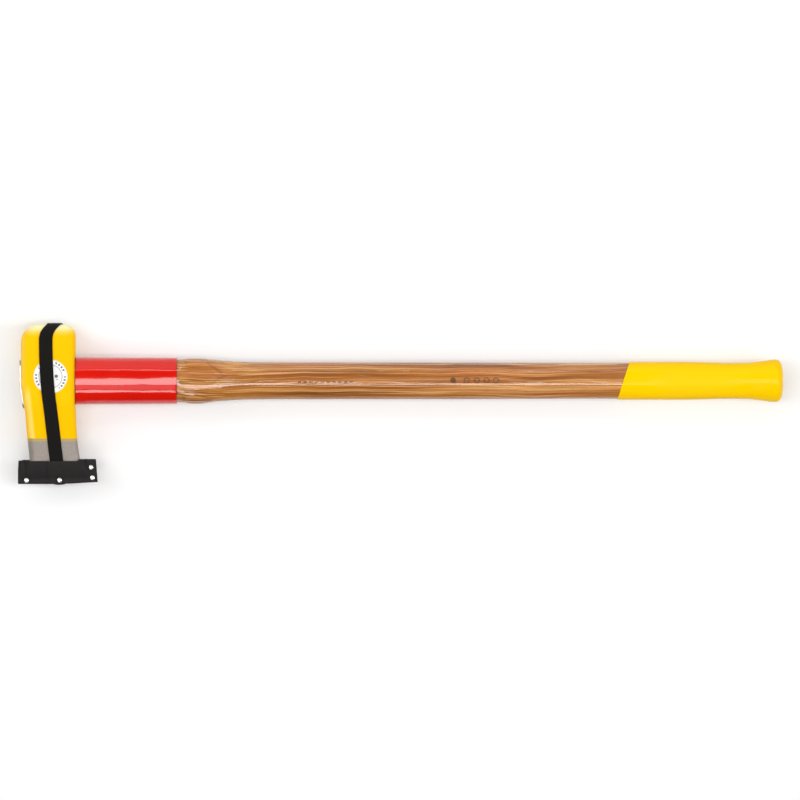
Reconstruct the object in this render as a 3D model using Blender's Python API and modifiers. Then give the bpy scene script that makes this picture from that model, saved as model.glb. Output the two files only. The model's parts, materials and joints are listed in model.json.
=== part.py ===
"""Splitting maul lying on its cheek: +X runs from the head along the handle, +Y towards the poll, +Z up.

Design sizes are in millimetres. X is counted from the head's crown face (the face the eye opens on at the end of the handle), Y from the handle's axis towards the poll and Z from the head's middle plane. SHIFT moves all of it to the row's origin: the middle of the box in X and Y, its lowest point in Z.
"""

import math

import bmesh
import bpy
import numpy as np

MM = 0.001
SHIFT = (-448.9, 27.8, 29.2)

# head
HEAD_HALF = 27.5  # half the thickness between the cheeks
POLL_Y = 66.5
EDGE_Y = -114.5
POLL_ROUND = 16.0  # cheek to poll face
POLL_CORNER_CROWN = 21.0  # poll corner on the crown side, in plan
POLL_CORNER_HANDLE = 13.0
CROWN_SETBACK = 1.2  # the plate stands proud of the crown by this and its own proudness
LONG_ROUND = 7.5  # cheek to crown and cheek to underside

# eye, tenon
EYE_CROWN = (23.8, 16.3)  # half sizes in Y and Z where the eye opens at the crown
EYE_UNDER = (25.7, 17.8)  # the same where the handle enters
EYE_POWER = 2.3


# sleeve
SLEEVE_X = (65.8, 185.0)
SLEEVE_OUT = ((28.1, 21.0), (27.5, 20.5))
SLEEVE_WALL = 2.0

# safety plate and its seat
PLATE_T = 2.0
PLATE_PROUD = 0.6
PLATE_Y = (-32.5, 24.5)
PLATE_HALF_Z = 17.5
PLATE_CORNER = 7.0
PLATE_BEND_Y = -5.0
PLATE_SLOPE = 0.145

# screw
SCREW_R = 3.0
SCREW_HEAD_R = 7.0
SCREW_TIP_X = 46.0

# wooden wedge in the tenon's kerf
WEDGE_TIP_X = 56.0
WEDGE_HALF = (3.4, 0.9)

# grip coating
COAT_T = 0.6
COAT_GAP = 0.2
COAT_EDGE_X = 711.3
COAT_SLANT = 0.33
KNOB_END_X = 900.0


# strap
STRAP_T = 1.4
STRAP_HALF_W = 8.0
STRAP_GAP = 0.3

# label
LABEL_AT = (36.1, 5.0)
LABEL_R = 20.0
LABEL_T = 0.25

# guard
PLY_T = 1.8
GUARD_BOTTOM_Y = -121.3
RIVETS = ((7.5, -117.3), (46.5, -117.0), (83.6, -102.1), (85.2, -114.2))
RIVET_HEAD_R = 3.0


def clear_scene():
    for o in list(bpy.data.objects):
        bpy.data.objects.remove(o, do_unlink=True)


def collection(name):
    c = bpy.data.collections.new(name)
    bpy.context.scene.collection.children.link(c)
    return c


def material(name, colour, metallic, rough):
    m = bpy.data.materials.new(name)
    m.use_nodes = True
    b = m.node_tree.nodes["Principled BSDF"]
    b.inputs["Base Color"].default_value = (*colour, 1.0)
    b.inputs["Metallic"].default_value = metallic
    b.inputs["Roughness"].default_value = rough
    return m


def smoothstep(a, b, v):
    t = min(1.0, max(0.0, (v - a) / (b - a)))
    return t * t * (3 - 2 * t)


def curve_through(points):
    """A smooth function through the points that never overshoots them."""
    xs = [p[0] for p in points]
    ys = [p[1] for p in points]
    d = [(ys[i + 1] - ys[i]) / (xs[i + 1] - xs[i]) for i in range(len(xs) - 1)]
    m = [d[0]]
    for i in range(1, len(d)):
        if d[i - 1] * d[i] <= 0:
            m.append(0.0)
        else:
            w1 = 2 * (xs[i + 1] - xs[i]) + (xs[i] - xs[i - 1])
            w2 = (xs[i + 1] - xs[i]) + 2 * (xs[i] - xs[i - 1])
            m.append((w1 + w2) / (w1 / d[i - 1] + w2 / d[i]))
    m.append(d[-1])

    def f(x):
        if x <= xs[0]:
            return ys[0]
        if x >= xs[-1]:
            return ys[-1]
        i = 0
        while x > xs[i + 1]:
            i += 1
        h = xs[i + 1] - xs[i]
        t = (x - xs[i]) / h
        return (
            ys[i] * (1 + 2 * t) * (1 - t) ** 2
            + m[i] * h * t * (1 - t) ** 2
            + ys[i + 1] * t * t * (3 - 2 * t)
            + m[i + 1] * h * t * t * (t - 1)
        )

    return f


def oval(n, half_y, half_z, power):
    """Points round an oval in the YZ plane, a superellipse of the given power."""
    out = []
    for k in range(n):
        a = 2 * math.pi * k / n
        c, s = math.cos(a), math.sin(a)
        out.append(
            (
                half_y * math.copysign(abs(c) ** (2 / power), c),
                half_z * math.copysign(abs(s) ** (2 / power), s),
            )
        )
    return out


def place(o, at):
    """Puts an object's origin at a design point; its mesh is stored around that point."""
    o.location = tuple((at[i] + SHIFT[i]) * MM for i in range(3))


def object_from(name, verts, faces, coll, mat, at=(0.0, 0.0, 0.0), smooth=True, closed=True):
    """A mesh object from points in design millimetres, with its origin at a design point."""
    me = bpy.data.meshes.new(name)
    me.from_pydata([tuple((p[i] - at[i]) * MM for i in range(3)) for p in verts], [], faces)
    if closed:
        bm = bmesh.new()
        bm.from_mesh(me)
        bmesh.ops.recalc_face_normals(bm, faces=bm.faces)
        bm.to_mesh(me)
        bm.free()
    o = bpy.data.objects.new(name, me)
    coll.objects.link(o)
    place(o, at)
    if mat:
        me.materials.append(mat)
    if smooth:
        me.shade_smooth()
        me.set_sharp_from_angle(angle=math.radians(40))
    return o


def shell_from(name, verts, faces, thickness, outwards, coll, mat, at=(0.0, 0.0, 0.0)):
    """An open surface given a wall by Solidify, outwards along its normals or inwards."""
    o = object_from(name, verts, faces, coll, mat, at, closed=False)
    m = o.modifiers.new("wall", "SOLIDIFY")
    m.thickness = thickness * MM
    m.offset = 1.0 if outwards else -1.0
    m.use_even_offset = True
    return o


def turned(name, profile, at, coll, mat, along="Z", steps=20):
    """A turned piece: (radius, height) from its top down its outer side, swept by a Screw modifier and stood on its axis."""
    me = bpy.data.meshes.new(name)
    me.from_pydata(
        [(r * MM, 0.0, h * MM) for r, h in profile], [(i, i + 1) for i in range(len(profile) - 1)], []
    )
    o = bpy.data.objects.new(name, me)
    coll.objects.link(o)
    place(o, at)
    if along == "X":
        o.rotation_euler = (0.0, math.radians(90), 0.0)
    if mat:
        me.materials.append(mat)
    m = o.modifiers.new("turn", "SCREW")
    m.axis = "Z"
    m.steps = m.render_steps = steps
    m.use_merge_vertices = True
    m.merge_threshold = 1e-5
    m.use_smooth_shade = True
    return o


def rod(name, radius, length, at, coll, along="Z", segments=16):
    """A closed cylinder or prism centred on a design point."""
    me = bpy.data.meshes.new(name)
    bm = bmesh.new()
    bmesh.ops.create_cone(
        bm, cap_ends=True, segments=segments, radius1=radius * MM, radius2=radius * MM, depth=length * MM
    )
    bm.to_mesh(me)
    bm.free()
    o = bpy.data.objects.new(name, me)
    coll.objects.link(o)
    place(o, at)
    if along == "X":
        o.rotation_euler = (0.0, math.radians(90), 0.0)
    return o


def tapered_block(name, x0, x1, half_y, half_z0, half_z1, coll, mat=None):
    """A cube stretched along X whose thickness runs from one value to another."""
    me = bpy.data.meshes.new(name)
    bm = bmesh.new()
    bmesh.ops.create_cube(bm, size=1.0)
    for v in bm.verts:
        far = v.co.x > 0
        v.co.x = (x1 if far else x0) * MM
        v.co.y *= 2 * half_y * MM
        v.co.z *= 2 * (half_z1 if far else half_z0) * MM
    bm.to_mesh(me)
    bm.free()
    o = bpy.data.objects.new(name, me)
    coll.objects.link(o)
    place(o, (0.0, 0.0, 0.0))
    if mat:
        me.materials.append(mat)
    return o


def loft(rings, cap_start=True, cap_end=True):
    """Quads between rings of equal length, with a fan or an n-gon at each end."""
    n = len(rings[0])
    verts = [p for r in rings for p in r]
    faces = []
    for i in range(len(rings) - 1):
        for k in range(n):
            a, b = i * n + k, i * n + (k + 1) % n
            faces.append((a, b, b + n, a + n))
    for wanted, first in ((cap_start, 0), (cap_end, (len(rings) - 1) * n)):
        if not wanted:
            continue
        centre = np.mean(verts[first : first + n], axis=0)
        verts.append(tuple(centre))
        c = len(verts) - 1
        for k in range(n):
            faces.append((first + k, first + (k + 1) % n, c))
    return verts, faces


def skin(rings):
    """The open surface through a row of rings."""
    n = len(rings[0])
    verts = [p for r in rings for p in r]
    faces = []
    for i in range(len(rings) - 1):
        for k in range(n):
            a, b = i * n + k, i * n + (k + 1) % n
            faces.append((a, b, b + n, a + n))
    return verts, faces


def cut(target, cutter, operation="DIFFERENCE"):
    cutter.hide_render = True
    cutter.display_type = "WIRE"
    m = target.modifiers.new("cut_" + cutter.name, "BOOLEAN")
    m.operation = operation
    m.solver = "EXACT"
    m.object = cutter
    return m


# ---------------------------------------------------------------- outlines

half_thickness_low = curve_through(
    [
        (-114.5, 0.35),
        (-112.0, 1.7),
        (-105.0, 4.7),
        (-94.0, 7.9),
        (-80.0, 11.5),
        (-67.9, 14.9),
        (-55.0, 18.9),
        (-40.0, 23.6),
        (-25.0, 27.0),
        (-12.0, HEAD_HALF),
    ]
)


def half_thickness(y):
    """Half the head's thickness at a height Y between edge and poll."""
    start = POLL_Y - POLL_ROUND
    if y > start:
        d = min(y - start, POLL_ROUND)
        return HEAD_HALF - POLL_ROUND + math.sqrt(max(0.0, POLL_ROUND**2 - d * d))
    return half_thickness_low(y)


def crown_x(y):
    """The head's crown side in plan."""
    base = 0.107 * math.sqrt((max(0.0, 9.0 - y)) ** 2) if y < 9.0 else 0.0
    blend = smoothstep(9.0, -3.0, y)
    x = base * (0.35 + 0.65 * blend)
    start = POLL_Y - POLL_CORNER_CROWN
    if y > start:
        d = min(y - start, POLL_CORNER_CROWN)
        x = POLL_CORNER_CROWN - math.sqrt(max(0.0, POLL_CORNER_CROWN**2 - d * d))
    return x + CROWN_SETBACK


under_line = curve_through(
    [(-114.5, 76.2), (-105.0, 73.8), (-94.0, 71.0), (-80.0, 68.7), (-66.0, 67.1), (-45.0, 65.9), (-30.0, 65.3), (29.5, 65.3), (53.0, 65.34)]
)


def under_x(y):
    """The head's handle side in plan."""
    x = under_line(y)
    start = POLL_Y - POLL_CORNER_HANDLE
    if y > start:
        d = min(y - start, POLL_CORNER_HANDLE)
        x += -POLL_CORNER_HANDLE + math.sqrt(max(0.0, POLL_CORNER_HANDLE**2 - d * d))
    return x


def plate_front(y):
    return -PLATE_PROUD + PLATE_SLOPE * max(0.0, PLATE_BEND_Y - y)


# ---------------------------------------------------------------- head


def head_ring(y):
    """A rounded rectangle in XZ: corner arcs joined by flat sides."""
    x0, x1, h = crown_x(y), under_x(y), half_thickness(y)
    r = min(LONG_ROUND, 0.75 * h, 0.42 * (x1 - x0))
    per = 6
    pts = []
    for cx, cz, a0 in (
        (x1 - r, h - r, 0),
        (x0 + r, h - r, 90),
        (x0 + r, -h + r, 180),
        (x1 - r, -h + r, 270),
    ):
        for k in range(per + 1):
            a = math.radians(a0 + 90 * k / per)
            pts.append((cx + r * math.cos(a), y, cz + r * math.sin(a)))
    return pts


def head_stations():
    ys = [EDGE_Y, -113.3, -112.0, -109.0, -105.0, -99.5, -94.0, -87.0, -80.0, -74.0, -67.9]
    ys += [-61.5, -55.0, -47.5, -40.0, -32.5, -25.0, -18.0, -12.0, -3.0, 3.0, 9.0, 29.5]
    corner = POLL_Y - POLL_CORNER_CROWN
    ys += [corner]
    for k in range(1, 11):
        a = math.radians(9 * k)
        ys.append(POLL_Y - POLL_ROUND * (1 - math.sin(a)))
    return sorted(set(ys))


def seat_prism(clear, deep):
    """The pocket the safety plate lies in: the plate's outline in YZ, its back face moved in by a gap."""
    ring = plate_outline(
        PLATE_Y[0] - clear, PLATE_Y[1] + clear, PLATE_HALF_Z + clear, PLATE_CORNER + clear
    )
    n = len(ring)
    verts = [(-30.0, y, z) for y, z in ring] + [(plate_front(y) + deep, y, z) for y, z in ring]
    faces = [(i, (i + 1) % n, n + (i + 1) % n, n + i) for i in range(n)]
    for loop in bend_halves(ring):
        faces.append(tuple(loop))
        faces.append(tuple(n + i for i in reversed(loop)))
    return verts, faces


def bend_halves(ring):
    """The outline's point numbers on each side of the bend line, each with both points on the line."""
    a, b = [i for i, (y, z) in enumerate(ring) if abs(y - PLATE_BEND_Y) < 1e-9]
    return list(range(a, b + 1)), list(range(b, len(ring))) + list(range(0, a + 1))


def plate_outline(y0, y1, hz, r, per=5):
    pts = []
    for cy, cz, a0 in (
        (y1 - r, hz - r, 0),
        (y0 + r, hz - r, 90),
        (y0 + r, -hz + r, 180),
        (y1 - r, -hz + r, 270),
    ):
        for k in range(per + 1):
            a = math.radians(a0 + 90 * k / per)
            pts.append((cy + r * math.cos(a), cz + r * math.sin(a)))
    # the bend line meets the outline at two points
    out = []
    n = len(pts)
    for i in range(n):
        a, b = pts[i], pts[(i + 1) % n]
        out.append(a)
        if (a[0] - PLATE_BEND_Y) * (b[0] - PLATE_BEND_Y) < 0:
            t = (PLATE_BEND_Y - a[0]) / (b[0] - a[0])
            out.append((PLATE_BEND_Y, a[1] + t * (b[1] - a[1])))
    return out


def screw_profile(grow, top):
    """From the tip to the countersunk head; top is the head's face, flush with the plate."""
    return [
        (0.0, SCREW_TIP_X + grow),
        (0.5 + grow, SCREW_TIP_X + grow),
        (SCREW_R + grow, SCREW_TIP_X - 6.0),
        (SCREW_R + grow, 4.0),
        (SCREW_HEAD_R + grow, -0.05),
        (SCREW_HEAD_R + grow, top),
        (0.0, top),
    ]


# ---------------------------------------------------------------- handle

handle_half_y = curve_through(
    [
        (0.0, 23.5),
        (65.5, 25.4),
        (185.0, 25.15),
        (187.3, 25.3),
        (194.4, 25.9),
        (201.5, 26.55),
        (211.0, 26.6),
        (224.0, 25.4),
        (235.7, 24.25),
        (247.5, 23.4),
        (259.3, 22.6),
        (282.8, 22.1),
        (377.0, 21.85),
        (542.0, 21.6),
        (684.0, 21.25),
        (731.0, 21.45),
        (778.0, 21.25),
        (801.6, 20.9),
        (834.6, 20.2),
        (848.8, 20.4),
        (858.0, 20.6),
        (867.6, 21.7),
        (877.0, 23.0),
        (883.0, 24.1),
        (886.5, 24.3),
        (891.0, 23.7),
        (896.0, 20.6),
    ]
)
handle_half_z = curve_through(
    [
        (0.0, 16.0),
        (65.5, 17.5),
        (187.3, 18.1),
        (205.0, 19.4),
        (224.0, 18.3),
        (259.3, 16.2),
        (300.0, 15.4),
        (684.0, 15.2),
        (801.6, 15.0),
        (834.6, 14.9),
        (858.0, 15.6),
        (877.0, 18.2),
        (886.5, 19.4),
        (891.0, 18.9),
        (896.0, 16.0),
    ]
)
handle_power = curve_through(
    [
        (0.0, EYE_POWER),
        (185.0, EYE_POWER),
        (200.0, 3.2),
        (222.0, 3.0),
        (262.0, 2.25),
        (700.0, 2.2),
        (896.0, 2.1),
    ]
)
SECTION_N = 40


def knob_cap(grow):
    """(x, share of the half size) down the rounded end of the knob."""
    end = KNOB_END_X - COAT_T - COAT_GAP + grow
    start = 891.0
    out = []
    for share in (0.93, 0.84, 0.70, 0.50, 0.28):
        # a dome flatter than a sphere
        x = start + (end - start) * (1 - share**2.6) ** (1 / 1.7)
        out.append((x, share))
    return out


def handle_ring(x, grow=0.0, share=1.0, slant=0.0):
    """One section of the handle; slant tips it for the slanted dip line of the coating."""
    base = min(x, 891.0)
    hy, hz, p = handle_half_y(base) * share + grow, handle_half_z(base) * share + grow, handle_power(base)
    return [(x + slant * y, y, z) for y, z in oval(SECTION_N, hy, hz, p)]


HANDLE_X = (
    [0.0, 65.5, 125.0, 186.0, 190.5, 195.0, 201.5, 206.5, 212.0, 218.0, 224.0, 235.7, 247.5, 259.3, 271.0, 282.8]
    + [330.0, 400.0, 480.0, 560.0, 640.0]
)
COAT_X = [732.0, 756.0, 779.0, 801.6, 818.0, 834.6, 848.8, 858.0, 863.0, 867.6, 872.0, 877.0, 882.0, 886.5, 891.0]


def coat_rings(grow):
    rings = [handle_ring(COAT_EDGE_X, grow, slant=COAT_SLANT)]
    for k, x in enumerate(COAT_X):
        rings.append(handle_ring(x, grow, slant=COAT_SLANT * max(0.0, 1 - (k + 1) / 4)))
    for x, share in knob_cap(grow):
        rings.append(handle_ring(x, grow, share))
    return rings


def handle_rings():
    rings = [handle_ring(x) for x in HANDLE_X]
    rings.append(handle_ring(682.0, slant=COAT_SLANT * 0.5))
    rings += coat_rings(0.0)
    return rings


# ---------------------------------------------------------------- strap and guard

strap_x_front = curve_through(
    [
        (-124.0, 46.2),
        (-117.0, 46.0),
        (-91.5, 42.7),
        (-73.8, 40.6),
        (-52.6, 38.3),
        (-31.4, 35.7),
        (-10.1, 33.0),
        (11.1, 31.2),
        (35.8, 30.2),
        (50.0, 29.8),
    ]
)
strap_x_back = curve_through([(-124.0, 46.2), (-117.0, 46.3), (-60.0, 46.8), (0.0, 47.6), (50.0, 49.0)])


def strap_inner(y, front):
    """Height of the strap's inner face over the middle plane, on the way from edge to poll."""
    h = half_thickness(y) + STRAP_GAP if y > EDGE_Y - 0.5 else 0.0
    h = max(h, 0.38)
    if front:
        h += 0.45 * smoothstep(-31.0, -18.0, y) * (1 - smoothstep(29.0, 40.0, y))
    return h


def strap_path():
    """[(centre x, y, z)] once round the strap's inner face, from the seam up the front, over the poll and down the back."""
    ys = [-121.8, -120.2, -117.0, -115.2, -113.6, -111.4, -105.0, -99.5, -94.0, -87.0, -80.0, -67.9, -55.0, -47.5, -40.0]
    ys += [-32.5, -25.0, -18.0, -8.0, 12.0, 30.0, 40.0]
    out = [(strap_x_front(y), y, strap_inner(y, True)) for y in ys]
    r = POLL_ROUND + STRAP_GAP
    arc = []
    for k in range(9):
        a = math.radians(k * 90 / 8)
        arc.append((POLL_Y - POLL_ROUND + r * math.sin(a), HEAD_HALF - POLL_ROUND + r * math.cos(a)))
    # the strap drifts sideways as it goes over the poll
    drift_front = curve_through([(0, 29.8), (2, 30.6), (4, 33.4), (6, 37.4), (8, 41.0)])
    drift_back = curve_through([(0, 41.7), (3, 44.4), (8, 49.0)])
    out += [(drift_front(k), y, z) for k, (y, z) in enumerate(arc)]
    out += [(drift_back(k), y, -z) for k, (y, z) in enumerate(reversed(arc))]
    out += [(strap_x_back(y), y, -strap_inner(y, False)) for y in reversed(ys)]
    seam = 0.38
    for a in (-60, -20, 20, 60):
        s, c = math.sin(math.radians(a)), math.cos(math.radians(a))
        out.append((46.25, -122.1 - seam * c, seam * s))
    return out


def strap_surface():
    offs = (-STRAP_HALF_W, -2.6, 2.6, STRAP_HALF_W)
    path = strap_path()
    m, n = len(offs), len(path)
    verts = [(x + o, y, z) for x, y, z in path for o in offs]
    faces = []
    for i in range(n):
        a, b = i * m, ((i + 1) % n) * m
        for k in range(m - 1):
            faces.append((a + k, a + k + 1, b + k + 1, b + k))
    return verts, faces


GUARD_LEFT = 2.66  # where the fold's arc starts
GUARD_RIGHT = curve_through([(-121.5, 91.0), (-92.0, 88.6)])


def guard_top(x, front):
    low, high = (-94.6, -92.2) if front else (-93.3, -92.2)
    return low + (high - low) * smoothstep(66.0, 71.0, x)


def guard_bottom(x):
    return GUARD_BOTTOM_Y - 0.4 * (1 - smoothstep(40.0, 60.0, x)) + 1.9 * smoothstep(52.0, 92.0, x)


def guard_inner(x, y, side):
    """Half the gap between the plies: it clears the blade, the strap and, past the edge, closes to a seam."""
    blade = (half_thickness(y) if y > EDGE_Y - 0.4 else 0.0) + 0.35
    lo, hi = 11.5, under_x(max(y, EDGE_Y)) + 0.6
    mask = smoothstep(lo - 10.0, lo - 0.5, x) * (1 - smoothstep(hi, hi + 4.8, x))
    fold = 0.2 + 0.62 * blade
    left = smoothstep(lo - 1.0, lo - 9.0, x)
    base = max(0.2, 0.2 + (blade - 0.2) * mask)
    base = max(base, fold * left) if y > EDGE_Y else base
    centre = strap_x_front(y) if side > 0 else strap_x_back(y)
    d = abs(x - centre)
    over = (half_thickness(y) + STRAP_GAP if y > EDGE_Y - 0.5 else 0.0)
    strap = max(over, 0.45) + STRAP_T * 1.12 + 0.35
    bump = 1 - smoothstep(STRAP_HALF_W + 1.6, STRAP_HALF_W + 7.0, d)
    return base + max(0.0, strap - base) * bump


def guard_rows():
    return [0.0, 0.12, 0.25, 0.4, 0.55, 0.66, 0.745, 0.80, 0.86, 0.93, 1.0]


def guard_columns():
    return [88.0, 86.0, 82.0, 80.0, 78.0, 76.0, 73.5, 70.0, 66.0, 63.0, 60.5, 58.0, 55.5, 53.0, 50.0, 46.3, 42.5, 39.5, 37.0, 34.5, 32.0, 29.5, 27.0, 22.0, 16.0, 12.0, 9.0, 6.0, GUARD_LEFT]


FOLD_STEPS = 7


def guard_point(u, v):
    """A point of the folded sheet's inner face. u counts columns from the front ply's free end, round the fold, to the back ply's free end; v runs from mouth (0) to bottom (1)."""
    cols = guard_columns()
    n = len(cols)
    if u < n:
        side, x = 1, cols[u]
    elif u >= n + FOLD_STEPS:
        side, x = -1, cols[2 * n + FOLD_STEPS - 1 - u]
    else:
        side, x = 0, GUARD_LEFT
    if side:
        y = guard_top(x, side > 0) * (1 - v) + guard_bottom(x) * v
        right = x + (GUARD_RIGHT(y) - 88.0) * smoothstep(60.0, 88.0, x)
        return (right, y, side * guard_inner(x, y, side))
    a = math.radians(90 + 180 * (u - n + 1) / (FOLD_STEPS + 1))
    top = guard_top(x, True) * 0.5 + guard_top(x, False) * 0.5
    y = top * (1 - v) + guard_bottom(x) * v
    z = guard_inner(x, y, 1)
    # a half oval: the fold's outside stays straight down its whole height
    reach = min(z, 2.2)
    return (GUARD_LEFT - (2.2 - reach) + (reach + 0.4) * math.cos(a), y, z * math.sin(a))


def guard_surface():
    nu = 2 * len(guard_columns()) + FOLD_STEPS
    rows = guard_rows()
    nv = len(rows)
    verts = [guard_point(u, v) for u in range(nu) for v in rows]
    faces = []
    for u in range(nu - 1):
        for v in range(nv - 1):
            a = u * nv + v
            faces.append((a, a + nv, a + nv + 1, a + 1))
    return verts, faces


def ply_outer(x, y, side):
    """Height of the outer face of a ply, for seating the rivets."""
    return guard_inner(x, y, side) + PLY_T


# ---------------------------------------------------------------- build


def eye_sections():
    grow_y, grow_z = 0.58, 0.46
    rows = (
        (-20.0, EYE_CROWN[0] - grow_y, EYE_CROWN[1] - grow_z),
        (0.0, *EYE_CROWN),
        (65.5, *EYE_UNDER),
        (85.0, EYE_UNDER[0] + grow_y, EYE_UNDER[1] + grow_z),
    )
    return [[(x, y, z) for y, z in oval(SECTION_N, hy, hz, EYE_POWER)] for x, hy, hz in rows]


def sleeve_ring(x):
    t = (x - SLEEVE_X[0]) / (SLEEVE_X[1] - SLEEVE_X[0])
    hy = SLEEVE_OUT[0][0] * (1 - t) + SLEEVE_OUT[1][0] * t
    hz = SLEEVE_OUT[0][1] * (1 - t) + SLEEVE_OUT[1][1] * t
    return [(x, y, z) for y, z in oval(SECTION_N, hy, hz, EYE_POWER)]


def plate_surface():
    ring = plate_outline(*PLATE_Y, PLATE_HALF_Z, PLATE_CORNER)
    verts = [(plate_front(y), y, z) for y, z in ring]
    return verts, [tuple(reversed(loop)) for loop in bend_halves(ring)]


def rivet_seat(x, y, side):
    """The highest point of a ply under a rivet's head."""
    r = RIVET_HEAD_R + 0.1
    return max(ply_outer(x + dx, y + dy, side) for dx in (-r, 0, r) for dy in (-r, 0, r)) + 0.2


def build():
    clear_scene()
    parts = collection("splitting_maul")
    helpers = collection("cutters")

    yellow = material("yellow_paint", (0.90, 0.60, 0.01), 0.0, 0.4)
    red = material("red_paint", (0.66, 0.01, 0.004), 0.0, 0.3)
    wood = material("hickory", (0.45, 0.19, 0.06), 0.0, 0.45)
    pale_wood = material("wedge_wood", (0.62, 0.45, 0.28), 0.0, 0.7)
    dip = material("grip_dip", (0.92, 0.62, 0.01), 0.0, 0.35)
    steel = material("bright_steel", (0.55, 0.53, 0.50), 1.0, 0.35)
    black = material("black_leather", (0.02, 0.018, 0.02), 0.0, 0.5)
    webbing = material("elastic_webbing", (0.012, 0.011, 0.011), 0.0, 0.85)
    nickel = material("nickel", (0.75, 0.73, 0.70), 1.0, 0.2)
    white = material("label_film", (0.85, 0.84, 0.82), 0.0, 0.4)

    seat = object_from("cut_seat", *seat_prism(0.35, PLATE_T + 0.3), helpers, None, smooth=False)
    eye = object_from("cut_eye", *loft(eye_sections()), helpers, None, smooth=False)
    screw_hole = turned("cut_screw", screw_profile(0.3, -3.0), (0, 0, 0), helpers, None, "X", 24)
    top_half, tip_half = WEDGE_HALF
    kerf = tapered_block("cut_kerf", -10.0, WEDGE_TIP_X + 1.0, 40.0, top_half + 0.75, tip_half + 0.3, helpers)

    head = object_from(
        "maul_head", *loft([head_ring(y) for y in head_stations()]), parts, yellow, (32.6, -24.0, 0.0)
    )
    cut(head, eye)
    cut(head, seat)

    handle = object_from("handle", *loft(handle_rings()), parts, wood)
    cut(handle, seat)
    cut(handle, kerf)
    cut(handle, screw_hole)

    wedge = tapered_block("eye_wedge", 0.0, WEDGE_TIP_X, 22.0, top_half, tip_half, parts, pale_wood)
    cut(wedge, seat)
    cut(wedge, screw_hole)

    shell_from(
        "protective_sleeve", *skin([sleeve_ring(x) for x in SLEEVE_X]), SLEEVE_WALL, False, parts, red,
        (SLEEVE_X[0], 0.0, 0.0),
    )

    plate = shell_from("safety_plate", *plate_surface(), PLATE_T, False, parts, steel)
    cut(plate, screw_hole)
    screw = turned("plate_screw", screw_profile(0.0, -0.45), (0, 0, 0), parts, steel, "X", 24)
    cut(screw, rod("cut_socket", 2.9, 8.0, (-1.8, 0, 0), helpers, "X", 6))

    # the coating is a skin round the grip's end, open at the slanted dip line and at the very end
    shell_from(
        "grip_coating", *skin(coat_rings(COAT_T + COAT_GAP)), COAT_T, False, parts, dip, (COAT_EDGE_X, 0.0, 0.0)
    )

    lx, ly = LABEL_AT
    label = rod("cheek_label", LABEL_R, LABEL_T, (lx, ly, HEAD_HALF + 0.25), parts, "Z", 40)
    label.data.materials.append(white)

    strap = shell_from("elastic_strap", *strap_surface(), STRAP_T, True, parts, webbing, (46.25, -27.0, 0.0))
    sx, sy = RIVETS[1]
    cut(strap, rod("cut_strap_hole", 1.8, 24.0, (sx, sy, 0), helpers))

    # everything that comes off with the guard hangs on one empty in the guard's middle
    pull = bpy.data.objects.new("guard_pull", None)
    parts.objects.link(pull)
    place(pull, (44.0, -108.0, 0.0))
    moving = [shell_from("edge_guard", *guard_surface(), PLY_T, True, parts, black, (44.0, -108.0, 0.0))]
    for k, (x, y) in enumerate(RIVETS, 1):
        cut(moving[0], rod(f"cut_rivet_{k}", 1.75, 32.0, (x, y, 0), helpers))

    # rivets: a front cap with a barrel, and a back post whose pin runs up inside it
    for k, (x, y) in enumerate(RIVETS, 1):
        zf, zb = rivet_seat(x, y, 1), rivet_seat(x, y, -1)
        r = RIVET_HEAD_R
        cap = [
            (0.0, zf + 1.25),
            (0.5 * r, zf + 1.1),
            (0.82 * r, zf + 0.7),
            (r, zf + 0.25),
            (r * 0.97, zf),
            (1.45, zf),
            (1.45, 0.9 - zb),
            (1.05, 0.9 - zb),
            (1.05, zf - 0.2),
            (0.0, zf - 0.2),
        ]
        post = [
            (0.0, zf - 0.6),
            (0.72, zf - 0.6),
            (0.72, -zb),
            (r * 0.97, -zb),
            (r, -zb - 0.25),
            (0.8 * r, -zb - 0.75),
            (0.0, -zb - 0.95),
        ]
        moving.append(turned(f"rivet_{k}_cap", cap, (x, y, 0), parts, nickel))
        moving.append(turned(f"rivet_{k}_post", post, (x, y, 0), parts, nickel))
    for o in moving:
        o.parent = pull
        o.matrix_parent_inverse.translation = -pull.location


build()
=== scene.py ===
"""Looks of the splitting maul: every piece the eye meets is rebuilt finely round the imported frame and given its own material."""

import json
import math

import bmesh
import bpy
import numpy as np
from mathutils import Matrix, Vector, noise

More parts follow.
